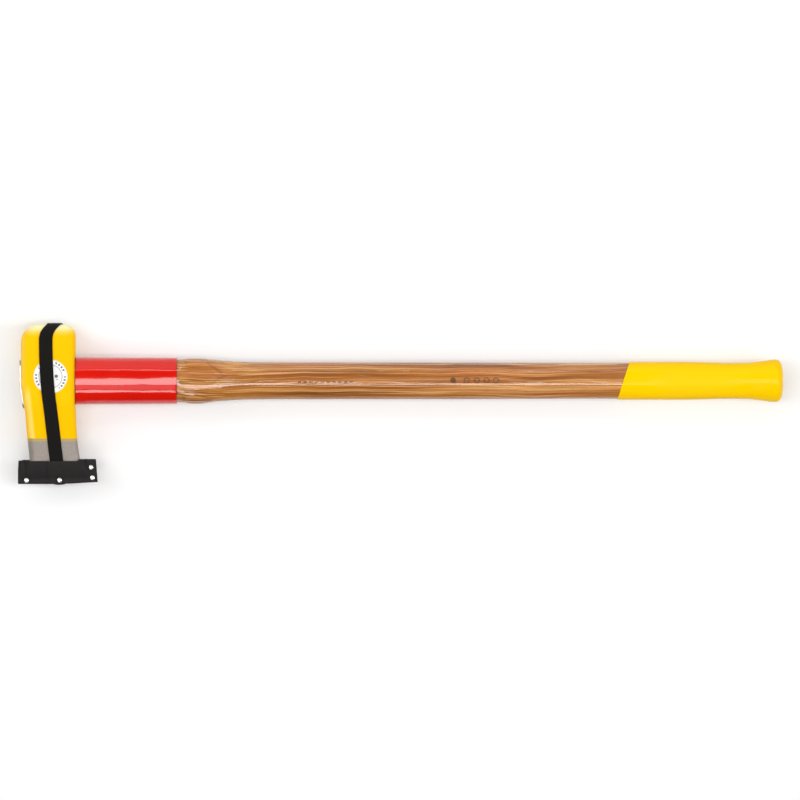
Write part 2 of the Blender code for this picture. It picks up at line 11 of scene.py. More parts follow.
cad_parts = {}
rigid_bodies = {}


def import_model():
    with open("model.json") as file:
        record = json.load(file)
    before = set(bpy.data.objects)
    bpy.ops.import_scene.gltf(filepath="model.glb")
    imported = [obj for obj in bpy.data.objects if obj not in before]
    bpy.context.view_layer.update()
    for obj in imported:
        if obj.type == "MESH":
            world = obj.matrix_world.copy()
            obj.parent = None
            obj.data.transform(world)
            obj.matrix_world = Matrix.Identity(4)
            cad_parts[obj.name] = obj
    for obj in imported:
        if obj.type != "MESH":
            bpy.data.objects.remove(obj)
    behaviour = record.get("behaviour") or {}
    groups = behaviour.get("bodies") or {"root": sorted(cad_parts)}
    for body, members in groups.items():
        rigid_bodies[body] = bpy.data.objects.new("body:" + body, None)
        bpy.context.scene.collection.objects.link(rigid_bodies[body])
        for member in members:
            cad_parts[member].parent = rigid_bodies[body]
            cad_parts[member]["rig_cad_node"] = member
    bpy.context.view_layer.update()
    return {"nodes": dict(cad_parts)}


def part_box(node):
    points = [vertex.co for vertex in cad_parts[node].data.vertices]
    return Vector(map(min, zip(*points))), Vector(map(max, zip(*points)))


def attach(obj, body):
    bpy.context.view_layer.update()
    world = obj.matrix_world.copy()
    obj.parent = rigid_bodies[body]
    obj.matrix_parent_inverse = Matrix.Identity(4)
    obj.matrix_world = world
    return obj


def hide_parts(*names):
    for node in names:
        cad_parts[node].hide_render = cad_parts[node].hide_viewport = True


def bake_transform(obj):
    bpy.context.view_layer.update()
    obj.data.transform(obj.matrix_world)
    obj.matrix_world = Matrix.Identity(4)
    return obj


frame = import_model()
scene = bpy.context.scene

for o in list(bpy.data.objects):
    if o.type in ("LIGHT", "CAMERA") or (o.type == "MESH" and o.name == "Cube" and "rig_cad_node" not in o):
        bpy.data.objects.remove(o, do_unlink=True)

MM = 0.001
head_lo, head_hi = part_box("maul_head")
screw_lo, screw_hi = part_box("plate_screw")
# design millimetres: X from the head's end, Y from the handle's axis, Z from the middle plane
plate_lo, plate_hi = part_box("safety_plate")
ORIGIN = Vector((plate_lo.x + 0.6 * MM, (screw_lo.y + screw_hi.y) / 2, (head_lo.z + head_hi.z) / 2))
HEAD_HALF = (head_hi.z - head_lo.z) / 2 / MM


def world(p):
    return (p[0] * MM + ORIGIN.x, p[1] * MM + ORIGIN.y, p[2] * MM + ORIGIN.z)


# ------------------------------------------------------------------ functions shared by the shapes


def smoothstep(a, b, v):
    t = min(1.0, max(0.0, (v - a) / (b - a)))
    return t * t * (3 - 2 * t)


def curve_through(points):
    xs = [p[0] for p in points]
    ys = [p[1] for p in points]
    d = [(ys[i + 1] - ys[i]) / (xs[i + 1] - xs[i]) for i in range(len(xs) - 1)]
    m = [d[0]]
    for i in range(1, len(d)):
        if d[i - 1] * d[i] <= 0:
            m.append(0.0)
        else:
            w1 = 2 * (xs[i + 1] - xs[i]) + (xs[i] - xs[i - 1])
            w2 = (xs[i + 1] - xs[i]) + 2 * (xs[i] - xs[i - 1])
            m.append((w1 + w2) / (w1 / d[i - 1] + w2 / d[i]))
    m.append(d[-1])

    def f(x):
        if x <= xs[0]:
            return ys[0]
        if x >= xs[-1]:
            return ys[-1]
        i = 0
        while x > xs[i + 1]:
            i += 1
        h = xs[i + 1] - xs[i]
        t = (x - xs[i]) / h
        return (
            ys[i] * (1 + 2 * t) * (1 - t) ** 2
            + m[i] * h * t * (1 - t) ** 2
            + ys[i + 1] * t * t * (3 - 2 * t)
            + m[i + 1] * h * t * t * (t - 1)
        )

    return f


def oval(n, half_y, half_z, power):
    out = []
    for k in range(n):
        a = 2 * math.pi * k / n
        c, s = math.cos(a), math.sin(a)
        out.append(
            (
                half_y * math.copysign(abs(c) ** (2 / power), c),
                half_z * math.copysign(abs(s) ** (2 / power), s),
            )
        )
    return out


def rough_noise(p, scale, seed=0.0):
    return noise.noise(Vector((p[0] * scale + seed, p[1] * scale, p[2] * scale)))


def mesh_piece(name, verts, faces, material, sharp=35.0, recalc=True, attrs=None):
    """An object from design points; faces may be tris, quads or n-gons."""
    me = bpy.data.meshes.new(name)
    me.from_pydata([world(p) for p in verts], [], faces)
    if recalc:
        bm = bmesh.new()
        bm.from_mesh(me)
        bmesh.ops.recalc_face_normals(bm, faces=bm.faces)
        bm.to_mesh(me)
        bm.free()
    for key, values in (attrs or {}).items():
        a = me.attributes.new(key, "FLOAT", "POINT")
        a.data.foreach_set("value", np.array(values, np.float32))
    o = bpy.data.objects.new(name, me)
    scene.collection.objects.link(o)
    if material:
        me.materials.append(material)
    me.shade_smooth()
    if sharp:
        me.set_sharp_from_angle(angle=math.radians(sharp))
    return o


def apply_modifiers(o):
    bpy.context.view_layer.update()
    graph = bpy.context.evaluated_depsgraph_get()
    me = bpy.data.meshes.new_from_object(o.evaluated_get(graph), preserve_all_data_layers=True, depsgraph=graph)
    old = o.data
    o.modifiers.clear()
    o.data = me
    if old.users == 0:
        bpy.data.meshes.remove(old)
    return o


def cut_with(o, cutters):
    for c in cutters:
        m = o.modifiers.new("cut", "BOOLEAN")
        m.operation = "DIFFERENCE"
        m.solver = "EXACT"
        m.object = c
    apply_modifiers(o)
    for c in cutters:
        bpy.data.objects.remove(c, do_unlink=True)


def bevel(o, width, segments=2, angle=40.0):
    m = o.modifiers.new("bevel", "BEVEL")
    m.width = width * MM
    m.segments = segments
    m.limit_method = "ANGLE"
    m.angle_limit = math.radians(angle)
    m.harden_normals = False
    return apply_modifiers(o)


def finish_shading(o, sharp=35.0):
    o.data.shade_smooth()
    o.data.set_sharp_from_angle(angle=math.radians(sharp))
    return o


def loft(rings, cap_start=True, cap_end=True):
    n = len(rings[0])
    verts = [p for r in rings for p in r]
    faces = []
    for i in range(len(rings) - 1):
        for k in range(n):
            a, b = i * n + k, i * n + (k + 1) % n
            faces.append((a, b, b + n, a + n))
    for wanted, first in ((cap_start, 0), (cap_end, (len(rings) - 1) * n)):
        if wanted:
            verts.append(tuple(np.mean(verts[first : first + n], axis=0)))
            c = len(verts) - 1
            faces += [(first + k, first + (k + 1) % n, c) for k in range(n)]
    return verts, faces


def wall(outer, inner):
    """A closed wall between two lofts whose end rings are joined."""
    n, m = len(outer[0]), len(outer)
    verts = [p for r in outer for p in r] + [p for r in inner for p in r]
    s = n * m
    faces = []
    for i in range(m - 1):
        for k in range(n):
            a, b = i * n + k, i * n + (k + 1) % n
            faces.append((a, b, b + n, a + n))
            faces.append((s + a, s + a + n, s + b + n, s + b))
    for i in (0, m - 1):
        for k in range(n):
            a, b = i * n + k, i * n + (k + 1) % n
            faces.append((a, b, s + b, s + a))
    return verts, faces


def turned_piece(name, profile, at, material, along="Z", steps=48, sharp=30.0):
    """A profile of (radius, height) revolved about an axis through a design point."""
    verts, faces, rows = [], [], []
    for r, h in profile:
        if r < 1e-9:
            rows.append([len(verts)])
            verts.append((0.0, 0.0, h))
        else:
            rows.append(list(range(len(verts), len(verts) + steps)))
            verts += [
                (r * math.cos(2 * math.pi * k / steps), r * math.sin(2 * math.pi * k / steps), h)
                for k in range(steps)
            ]
    for a, b in zip(rows, rows[1:]):
        for k in range(steps):
            k2 = (k + 1) % steps
            if len(a) == 1 and len(b) > 1:
                faces.append((a[0], b[k], b[k2]))
            elif len(b) == 1 and len(a) > 1:
                faces.append((a[k], b[0], a[k2]))
            elif len(a) > 1:
                faces.append((a[k], b[k], b[k2], a[k2]))
    if along == "X":
        verts = [(h, y, z) for y, z, h in verts]
    verts = [(x + at[0], y + at[1], z + at[2]) for x, y, z in verts]
    return mesh_piece(name, verts, faces, material, sharp)


def rounded(profile, radius, steps=4):
    """The same profile with its inner corners rounded."""
    out = [profile[0]]
    for a, b, c in zip(profile, profile[1:], profile[2:]):
        va, vc = np.subtract(a, b), np.subtract(c, b)
        la, lc = np.hypot(*va), np.hypot(*vc)
        r = min(radius, 0.45 * la, 0.45 * lc)
        if r < 1e-4:
            out.append(b)
            continue
        p, q = np.add(b, va / la * r), np.add(b, vc / lc * r)
        for k in range(steps + 1):
            t = k / steps
            out.append(tuple((1 - t) ** 2 * p + 2 * t * (1 - t) * np.array(b) + t * t * q))
    out.append(profile[-1])
    return out


# ------------------------------------------------------------------ materials


class Mat:
    """Short names for building a node tree."""

    def __init__(self, name):
        self.m = bpy.data.materials.new(name)
        self.m.use_nodes = True
        self.t = self.m.node_tree
        self.b = self.t.nodes["Principled BSDF"]
        self.coord = self.t.nodes.new("ShaderNodeTexCoord")

    def node(self, kind, inputs=None, **props):
        n = self.t.nodes.new(kind)
        for k, v in props.items():
            setattr(n, k, v)
        for k, v in (inputs or {}).items():
            if hasattr(v, "is_output") or isinstance(v, bpy.types.NodeSocket):
                self.t.links.new(v, n.inputs[k])
            else:
                n.inputs[k].default_value = v
        return n

    def set(self, **values):
        for k, v in values.items():
            key = k.replace("_", " ").title()
            key = {"Ior": "IOR", "Coat Ior": "Coat IOR", "Specular": "Specular IOR Level"}.get(key, key)
            if isinstance(v, bpy.types.NodeSocket):
                self.t.links.new(v, self.b.inputs[key])
            else:
                self.b.inputs[key].default_value = v

    def at(self, scale=(1, 1, 1), offset=(0, 0, 0), rotate=(0, 0, 0), vector=None):
        """Object coordinates, moved so that design zero is zero, then scaled. Scales count per metre."""
        src = vector or self.coord.outputs["Object"]
        first = self.node("ShaderNodeVectorMath", {0: src, 1: tuple(ORIGIN)}, operation="SUBTRACT")
        m = self.node("ShaderNodeMapping", {"Vector": first.outputs[0]})
        m.inputs["Location"].default_value = offset
        m.inputs["Rotation"].default_value = rotate
        m.inputs["Scale"].default_value = scale
        return m.outputs[0]

    def noise(self, vector, scale=1.0, detail=4.0, rough=0.55, distortion=0.0, kind="FBM"):
        n = self.node("ShaderNodeTexNoise", {"Vector": vector})
        n.inputs["Scale"].default_value = scale
        n.inputs["Detail"].default_value = detail
        n.inputs["Roughness"].default_value = rough
        n.inputs["Distortion"].default_value = distortion
        return n.outputs["Fac"]

    def voronoi(self, vector, scale=1.0, feature="F1", out="Distance"):
        n = self.node("ShaderNodeTexVoronoi", {"Vector": vector}, feature=feature)
        n.inputs["Scale"].default_value = scale
        return n.outputs[out]

    def ramp(self, fac, stops, interpolation="LINEAR"):
        n = self.node("ShaderNodeValToRGB", {"Fac": fac})
        e = n.color_ramp.elements
        n.color_ramp.interpolation = interpolation
        while len(e) < len(stops):
            e.new(0.5)
        for el, (p, c) in zip(e, stops):
            el.position = p
            el.color = (c, c, c, 1) if isinstance(c, (int, float)) else (*c, 1)
        return n.outputs["Color"]

    def math(self, op, a, b=0.0, c=0.0, clamp=False):
        n = self.node("ShaderNodeMath", {0: a, 1: b, 2: c}, operation=op)
        n.use_clamp = clamp
        return n.outputs[0]

    def mix(self, fac, a, b, blend="MIX"):
        n = self.t.nodes.new("ShaderNodeMix")
        n.data_type = "RGBA"
        n.blend_type = blend
        for key, v in ((0, fac), (6, a), (7, b)):
            if isinstance(v, bpy.types.NodeSocket):
                self.t.links.new(v, n.inputs[key])
            else:
                n.inputs[key].default_value = v if key == 0 or len(v) == 4 else (*v, 1)
        return n.outputs[2]

    def maprange(self, v, a, b, c=0.0, d=1.0, smooth=True):
        n = self.node("ShaderNodeMapRange", {"Value": v})
        n.interpolation_type = "SMOOTHSTEP" if smooth else "LINEAR"
        for key, val in (("From Min", a), ("From Max", b), ("To Min", c), ("To Max", d)):
            n.inputs[key].default_value = val
        return n.outputs[0]

    def axes(self, vector=None):
        n = self.node("ShaderNodeSeparateXYZ", {"Vector": vector or self.at()})
        return n.outputs[0], n.outputs[1], n.outputs[2]

    def attribute(self, name):
        n = self.node("ShaderNodeAttribute")
        n.attribute_name = name
        return n.outputs["Fac"]

    def combine(self, x, y, z=0.0):
        return self.node("ShaderNodeCombineXYZ", {0: x, 1: y, 2: z}).outputs[0]

    def bump(self, height, distance, strength=1.0, normal=None):
        n = self.node("ShaderNodeBump", {"Height": height})
        n.inputs["Distance"].default_value = distance
        n.inputs["Strength"].default_value = strength
        if normal is not None:
            self.t.links.new(normal, n.inputs["Normal"])
        return n.outputs["Normal"]


def head_material():
    """Yellow enamel over forged steel, with a masked edge at the ground cutting end."""
    k = Mat("head_enamel_and_ground_steel")
    x, y, z = k.axes()
    wob = k.noise(k.at((260, 40, 260)), 1.0, 3.0)
    line = k.math("ADD", y, k.math("MULTIPLY", k.math("SUBTRACT", wob, 0.5), 0.0010))
    paint = k.maprange(line, -0.0683, -0.0676)

    tone = k.noise(k.at((22, 22, 22)), 1.0, 3.0)
    yellow = k.mix(tone, (0.900, 0.478, 0.0010), (0.930, 0.516, 0.0014))
    # painted highlight: the enamel is coloured paler over the poll's corner, along the crown side and in one soft
    # streak on the cheek, where the lamps glint
    top = k.maprange(k.math("ADD", y, k.math("MULTIPLY", k.math("SUBTRACT", tone, 0.5), 0.004)), 0.0510, 0.0665)
    side = k.maprange(x, 0.0015, 0.0085, 0.30, 0.0)
    mid = k.math("SUBTRACT", 0.0072, k.math("MULTIPLY", y, 0.107))
    painted_streak_highlight = k.maprange(k.math("ABSOLUTE", k.math("SUBTRACT", x, mid)), 0.0012, 0.0050, 0.45, 0.0)
    painted_streak_highlight = k.math("MULTIPLY", painted_streak_highlight, k.maprange(y, -0.020, -0.002, 1.0, 0.0))
    painted_edge_highlight = k.math("MAXIMUM", k.math("MULTIPLY", k.math("POWER", top, 1.3), 0.85), k.math("MAXIMUM", side, painted_streak_highlight))
    yellow = k.mix(painted_edge_highlight, yellow, (0.97, 0.78, 0.24))
    # painted highlight: the top of the poll's round goes near cream
    yellow = k.mix(k.math("POWER", top, 3.0), yellow, (1.0, 0.93, 0.55))
    dust = k.ramp(k.noise(k.at((900, 900, 900)), 1.0, 2.0), [(0.60, 0.0), (0.74, 1.0)])
    yellow = k.mix(k.math("MULTIPLY", dust, 0.05), yellow, (0.55, 0.36, 0.02))

    streak = k.noise(k.at((1400, 26, 1400)), 1.0, 5.0, 0.65)
    cross = k.noise(k.at((60, 500, 60)), 1.0, 3.0, 0.5)
    blotch = k.noise(k.at((45, 45, 45), (3, 1, 2)), 1.0, 3.0)
    steel = k.mix(k.ramp(streak, [(0.30, 0.0), (0.72, 1.0)]), (0.27, 0.238, 0.212), (0.40, 0.352, 0.315))
    steel = k.mix(k.math("MULTIPLY", k.ramp(blotch, [(0.45, 0.0), (0.8, 1.0)]), 0.35), steel, (0.24, 0.208, 0.186))
    near = k.maprange(line, -0.0722, -0.0704, 0.0, 0.85)
    steel = k.mix(near, steel, (0.52, 0.36, 0.10))

    k.set(
        base_color=k.mix(paint, steel, yellow),
        specular=0.015,
        sheen_weight=0.05,
        sheen_roughness=0.30,
        metallic=k.maprange(line, -0.0683, -0.0676, 0.35, 0.0),
        roughness=k.math(
            "ADD",
            k.maprange(line, -0.0683, -0.0676, 0.52, 0.42),
            k.math("MULTIPLY", k.math("SUBTRACT", k.noise(k.at((150, 150, 150)), 1.0, 3.0), 0.5), 0.16),
        ),
    )
    peel = k.noise(k.at((520, 520, 520)), 1.0, 2.0, 0.5)
    forge = k.noise(k.at((95, 95, 95), (5, 2, 1)), 1.0, 3.0, 0.5)
    h_paint = k.math("ADD", k.math("MULTIPLY", peel, 0.25), k.math("MULTIPLY", forge, 0.9))
    h_steel = k.math("ADD", k.math("MULTIPLY", streak, 0.30), k.math("MULTIPLY", cross, 0.12))
    h_steel = k.math("SUBTRACT", h_steel, 0.18)
    both = k.node("ShaderNodeMix", {0: paint, 2: h_steel, 3: h_paint}).outputs[0]
    k.set(normal=k.bump(both, 0.00022, 0.55))
    return k.m


def wood_material(name="varnished_hickory", bright=1.0):
    """Straight-grained hickory under clear varnish: broad bands, growth lines, pores and a few dark streaks."""
    k = Mat(name)
    x, y, z = k.axes()
    # long slow wander of the grain across the handle
    wander = k.noise(k.at((5.5, 0.0, 0.0), (2.3, 0, 0)), 1.0, 2.0, 0.5)
    shift = k.math("MULTIPLY", k.math("SUBTRACT", wander, 0.5), 0.012)
    shift2 = k.math("MULTIPLY", k.math("SUBTRACT", k.noise(k.at((11, 30, 30), (7, 1, 4)), 1.0, 2.0), 0.5), 0.0055)
    across = k.math("ADD", k.math("ADD", y, shift), shift2)
    depth = k.math("ADD", z, k.math("MULTIPLY", shift, 0.5))
    v = k.combine(x, across, depth)

    def on(sx, sy, sz, off=0.0):
        m = k.node("ShaderNodeMapping", {"Vector": v})
        m.inputs["Scale"].default_value = (sx, sy, sz)
        m.inputs["Location"].default_value = (off, off * 0.7, off * 0.3)
        return m.outputs[0]

    broad = k.noise(on(2.6, 95, 45, 1.7), 1.0, 2.0, 0.5)
    fine = k.noise(on(5.0, 330, 150, 4.1), 1.0, 5.0, 0.62)
    lines = k.noise(on(3.2, 620, 200, 9.3), 1.0, 3.0, 0.5)
    c = k.ramp(
        broad,
        [
            (0.32, (0.215 * bright, 0.056 * bright, 0.008 * bright)),
            (0.43, (0.335 * bright, 0.105 * bright, 0.017 * bright)),
            (0.54, (0.440 * bright, 0.160 * bright, 0.034 * bright)),
            (0.66, (0.660 * bright, 0.315 * bright, 0.105 * bright)),
        ],
    )
    c = k.mix(k.math("MULTIPLY", k.ramp(fine, [(0.42, 1.0), (0.57, 0.0)]), 0.68), c, (0.205, 0.062, 0.014))
    c = k.mix(k.math("MULTIPLY", k.ramp(lines, [(0.51, 0.0), (0.62, 1.0)]), 0.66), c, (0.80, 0.45, 0.20))
    olive = k.ramp(k.noise(on(2.8, 120, 40, 31.0), 1.0, 2.0), [(0.48, 0.0), (0.64, 1.0)])
    c = k.mix(k.math("MULTIPLY", olive, 0.42), c, (0.500, 0.240, 0.032))
    ruddy = k.ramp(k.noise(on(3.4, 150, 60, 43.0), 1.0, 2.0), [(0.50, 0.0), (0.64, 1.0)])
    c = k.mix(k.math("MULTIPLY", ruddy, 0.36), c, (0.460, 0.130, 0.045))
    dark = k.ramp(k.noise(on(4.2, 210, 95, 13.0), 1.0, 4.0, 0.6), [(0.57, 0.0), (0.69, 1.0)])
    c = k.mix(k.math("MULTIPLY", dark, 0.72), c, (0.110, 0.036, 0.012))
    pores = k.ramp(k.noise(on(85, 1900, 900, 21.0), 1.0, 2.0, 0.5), [(0.60, 0.0), (0.70, 1.0)])
    c = k.mix(k.math("MULTIPLY", pores, 0.38), c, (0.13, 0.045, 0.014))
    # a dark curl in the grain behind the sleeve: two strokes that meet in a point
    wobble = k.math("MULTIPLY", k.math("SUBTRACT", fine, 0.5), 0.016)
    for x0, y0, x1, y1, half in ((0.2205, 0.0210, 0.2410, 0.0078, 0.0021), (0.2290, -0.0006, 0.2470, 0.0080, 0.0017)):
        slope = (y1 - y0) / (x1 - x0)
        line = k.math("ADD", k.math("MULTIPLY", x, slope), y0 - slope * x0)
        off = k.math("ABSOLUTE", k.math("SUBTRACT", k.math("ADD", y, wobble), line), 0.0)
        near = k.maprange(off, 0.0, half * 1.7, 1.0, 0.0)
        ends = k.math(
            "MULTIPLY",
            k.maprange(x, x0 - 0.002, x0 + 0.004, 0.0, 1.0),
            k.maprange(x, x1 - 0.004, x1 + 0.002, 1.0, 0.0),
        )
        c = k.mix(k.math("MULTIPLY", k.math("MULTIPLY", near, ends), 0.46), c, (0.200, 0.058, 0.012))
    k.wood = c
    k.set(
        base_color=c,
        roughness=k.maprange(fine, 0.3, 0.7, 0.42, 0.56),
        coat_weight=0.9,
        coat_roughness=0.06,
        coat_ior=1.66,
        specular=0.05,
    )
    h = k.math("SUBTRACT", k.math("MULTIPLY", fine, 0.5), k.math("MULTIPLY", pores, 0.6))
    k.set(normal=k.bump(h, 0.00012, 0.5))
    ripple = k.noise(on(16, 260, 160, 3.0), 1.0, 3.0, 0.55)
    # the shoulder is left rougher from the spokeshave
    rough = k.math("MULTIPLY", k.maprange(x, 0.226, 0.244, 1.0, 0.0), k.noise(on(190, 420, 300, 5.0), 1.0, 3.0, 0.6))
    ripple = k.math("ADD", ripple, k.math("MULTIPLY", rough, 0.25))
    k.t.links.new(k.bump(ripple, 0.00035, 0.5), k.b.inputs["Coat Normal"])
    return k


def handle_material():
    """The handle's wood with a few plain printed marks: rings and a rounded plate."""
    k = wood_material("varnished_hickory_handle")
    x, y, z = k.axes()
    masks = []
    up = k.maprange(z, 0.004, 0.006)

    def ring(cx, cy, r, width):
        dx, dy = k.math("SUBTRACT", x, cx), k.math("SUBTRACT", y, cy)
        d = k.math("SQRT", k.math("ADD", k.math("MULTIPLY", dx, dx), k.math("MULTIPLY", dy, dy)))
        off = k.math("ABSOLUTE", k.math("SUBTRACT", d, r))
        return k.maprange(off, width * 0.5, width * 0.5 + 0.00018, 1.0, 0.0)

    def bar(x0, x1, y0, y1):
        inx = k.math("MULTIPLY", k.maprange(x, x0, x0 + 0.0002), k.maprange(x, x1 - 0.0002, x1, 1.0, 0.0))
        iny = k.math("MULTIPLY", k.maprange(y, y0, y0 + 0.0002), k.maprange(y, y1 - 0.0002, y1, 1.0, 0.0))
        return k.math("MULTIPLY", inx, iny)

    for cx in (0.5265, 0.5385, 0.5500, 0.5610):
        masks.append(ring(cx, 0.0005, 0.0030, 0.0009))
        masks.append(bar(cx - 0.0014, cx + 0.0014, 0.0001, 0.0009))
    masks.append(ring(0.5105, 0.0007, 0.0017, 0.0034))
    # a plain dashed band in place of lettering
    dash = k.math("FRACT", k.math("DIVIDE", k.math("SUBTRACT", x, 0.3270), 0.0068))
    dash = k.math("MULTIPLY", k.maprange(dash, 0.02, 0.06), k.maprange(dash, 0.62, 0.66, 1.0, 0.0))
    masks.append(k.math("MULTIPLY", bar(0.3270, 0.3950, -0.0030, -0.0002), dash))
    total = masks[0]
    for m in masks[1:]:
        total = k.math("MAXIMUM", total, m)
    worn = k.ramp(k.noise(k.at((900, 900, 900)), 1.0, 3.0), [(0.32, 0.25), (0.52, 1.0)])
    total = k.math("MULTIPLY", k.math("MULTIPLY", total, up), k.math("MULTIPLY", worn, 0.72))
    k.set(base_color=k.mix(total, k.wood, (0.020, 0.014, 0.010)))
    return k.m


def end_wood_material():
    k = Mat("end_grain")
    y, z = k.axes()[1], k.axes()[2]
    rings = k.noise(k.at((60, 520, 160)), 1.0, 4.0, 0.6)
    pores = k.ramp(k.voronoi(k.at((1500, 1500, 1500)), 1.0), [(0.10, 1.0), (0.24, 0.0)])
    c = k.ramp(rings, [(0.35, (0.20, 0.085, 0.030)), (0.65, (0.42, 0.22, 0.10))])
    c = k.mix(k.math("MULTIPLY", pores, 0.6), c, (0.07, 0.03, 0.012))
    k.set(base_color=c, roughness=0.7)
    k.set(normal=k.bump(pores, 0.0001, 0.4))
    return k.m


def wedge_material():
    k = Mat("dry_wedge_wood")
    g = k.noise(k.at((40, 260, 900)), 1.0, 5.0, 0.6)
    k.set(base_color=k.ramp(g, [(0.35, (0.42, 0.27, 0.14)), (0.65, (0.66, 0.49, 0.31))]), roughness=0.8)
    k.set(normal=k.bump(g, 0.0002, 0.5))
    return k.m


def red_material():
    """Glossy red enamel on a drawn steel sleeve, with painted shade along both rims where the rolled edges turn away,
    and worn through at one small nick.
    """
    k = Mat("red_enamel")
    x, y, z = k.axes()
    tone = k.noise(k.at((30, 30, 30)), 1.0, 2.0)
    c = k.mix(tone, (0.59, 0.0044, 0.0004), (0.66, 0.0070, 0.0008))
    rim_band_noise = k.noise(k.at((420, 420, 420)), 1.0, 4.0, 0.6)
    lo, hi = (SLEEVE_X[0] * MM, SLEEVE_X[1] * MM)
    # painted shade: a broken dark band, coloured like bare metal, runs along both rims
    rim = k.math(
        "MAXIMUM", k.maprange(x, lo, lo + 0.0012, 1.0, 0.0), k.maprange(x, hi - 0.0012, hi, 0.0, 1.0)
    )
    worn = k.math("GREATER_THAN", k.math("ADD", k.math("MULTIPLY", rim, 0.55), rim_band_noise), 0.93)
    dx, dy = k.math("SUBTRACT", x, 0.1166), k.math("SUBTRACT", y, -0.0055)
    d = k.math("SQRT", k.math("ADD", k.math("MULTIPLY", dx, dx), k.math("MULTIPLY", dy, dy)))
    up = k.maprange(z, 0.0, 0.004)
    nick = k.math("MULTIPLY", k.maprange(d, 0.0006, 0.0009, 1.0, 0.0), up)
    worn = k.math("MAXIMUM", worn, nick)
    k.set(
        base_color=k.mix(worn, c, (0.10, 0.045, 0.035)),
        metallic=k.math("MULTIPLY", worn, 0.7),
        roughness=k.maprange(worn, 0.0, 1.0, 0.13, 0.5),
        coat_weight=0.8,
        coat_roughness=0.045,
        specular=0.30,
    )
    peel = k.noise(k.at((600, 600, 600)), 1.0, 2.0)
    draw = k.noise(k.at((28, 300, 300)), 1.0, 3.0, 0.5)
    h = k.math("ADD", k.math("MULTIPLY", peel, 0.10), k.math("MULTIPLY", draw, 0.45))
    h = k.math("SUBTRACT", h, k.math("MULTIPLY", worn, 0.5))
    k.set(normal=k.bump(h, 0.00016, 0.5))
    return k.m


def dip_material():
    """Thick glossy yellow dip coating."""
    k = Mat("yellow_dip_coating")
    x, y, z = k.axes()
    tone = k.noise(k.at((18, 40, 40)), 1.0, 3.0)
    c = k.mix(tone, (0.905, 0.540, 0.0006), (0.935, 0.572, 0.0010))
    spots = k.ramp(k.noise(k.at((700, 700, 700)), 1.0, 2.0), [(0.70, 0.0), (0.78, 1.0)])
    c = k.mix(k.math("MULTIPLY", spots, 0.10), c, (0.45, 0.27, 0.02))
    # glossy at the knob and beside the dip line, dulled by hands between them
    gloss = k.math("MAXIMUM", k.maprange(x, 0.800, 0.875), k.maprange(x, 0.725, 0.790, 1.0, 0.0))
    k.set(
        base_color=c,
        roughness=k.maprange(gloss, 0.0, 1.0, 0.55, 0.13),
        coat_weight=0.01,
        coat_roughness=0.08,
        specular=0.07,
        sheen_weight=0.02,
        sheen_roughness=0.3,
    )
    wave = k.noise(k.at((26, 120, 120)), 1.0, 3.0, 0.5)
    peel = k.noise(k.at((700, 700, 700)), 1.0, 2.0)
    h = k.math("ADD", wave, k.math("MULTIPLY", peel, 0.12))
    k.set(normal=k.bump(h, 0.00035, 0.5))
    return k.m


def leather_material():
    """Black finished leather: fine pebble grain, soft creases, greyer in scattered patches."""
    k = Mat("black_leather_grain")
    cells = k.voronoi(k.at((1050, 1050, 1050)), 1.0, "DISTANCE_TO_EDGE")
    pebble = k.ramp(cells, [(0.0, 0.0), (0.16, 1.0)])
    mid = k.noise(k.at((420, 420, 420)), 1.0, 4.0, 0.6)
    crease = k.noise(k.at((70, 190, 70)), 1.0, 4.0, 0.6, 0.8)
    tone = k.noise(k.at((55, 55, 55)), 1.0, 3.0)
    c = k.mix(tone, (0.0128, 0.0103, 0.0108), (0.0205, 0.0166, 0.0172))
    rub = k.ramp(k.noise(k.at((240, 900, 240), (4, 4, 4)), 1.0, 4.0, 0.7), [(0.62, 0.0), (0.78, 1.0)])
    c = k.mix(k.math("MULTIPLY", rub, 0.35), c, (0.055, 0.050, 0.050))
    k.set(base_color=c, roughness=k.maprange(mid, 0.3, 0.7, 0.56, 0.72), specular=0.16)
    h = k.math("ADD", k.math("MULTIPLY", pebble, 0.35), k.math("MULTIPLY", crease, 0.8))
    h = k.math("ADD", h, k.math("MULTIPLY", mid, 0.25))
    k.set(normal=k.bump(h, 0.00022, 0.6))
    return k.m


def webbing_material():
    """Woven elastic: rubber cords run along it, weft ribs across it, with firm selvedges."""
    k = Mat("woven_elastic")
    along, across = k.attribute("along"), k.attribute("across")
    rib = k.math("SINE", k.math("MULTIPLY", along, 2 * math.pi / 1.05))
    cord = k.math("SINE", k.math("MULTIPLY", across, 2 * math.pi / 0.95))
    weave = k.math("MULTIPLY", rib, cord)
    h = k.math("ADD", k.math("MULTIPLY", weave, 0.5), k.math("MULTIPLY", rib, 0.35))
    fuzz = k.noise(k.combine(k.math("MULTIPLY", along, 2.6), k.math("MULTIPLY", across, 2.6)), 1.0, 4.0, 0.7)
    tone = k.noise(k.combine(k.math("MULTIPLY", along, 0.05), k.math("MULTIPLY", across, 0.25)), 1.0, 3.0)
    sel = k.maprange(k.math("ABSOLUTE", across), 6.5, 7.1)
    c = k.mix(tone, (0.0058, 0.0051, 0.0046), (0.0092, 0.0083, 0.0075))
    # painted highlight: the raised crests of the weave are coloured lighter
    c = k.mix(k.math("MULTIPLY", k.maprange(h, 0.1, 0.8), 0.55), c, (0.022, 0.020, 0.0195))
    c = k.mix(k.math("MULTIPLY", sel, 0.5), c, (0.0045, 0.0040, 0.0040))
    c = k.mix(k.math("MULTIPLY", k.ramp(fuzz, [(0.60, 0.0), (0.75, 1.0)]), 0.30), c, (0.035, 0.033, 0.032))
    k.set(base_color=c, roughness=0.86, specular=0.10, sheen_weight=0.03, sheen_roughness=0.5)
    hh = k.math("ADD", h, k.math("MULTIPLY", fuzz, 0.5))
    k.set(normal=k.bump(hh, 0.00022, 0.8))
    return k.m


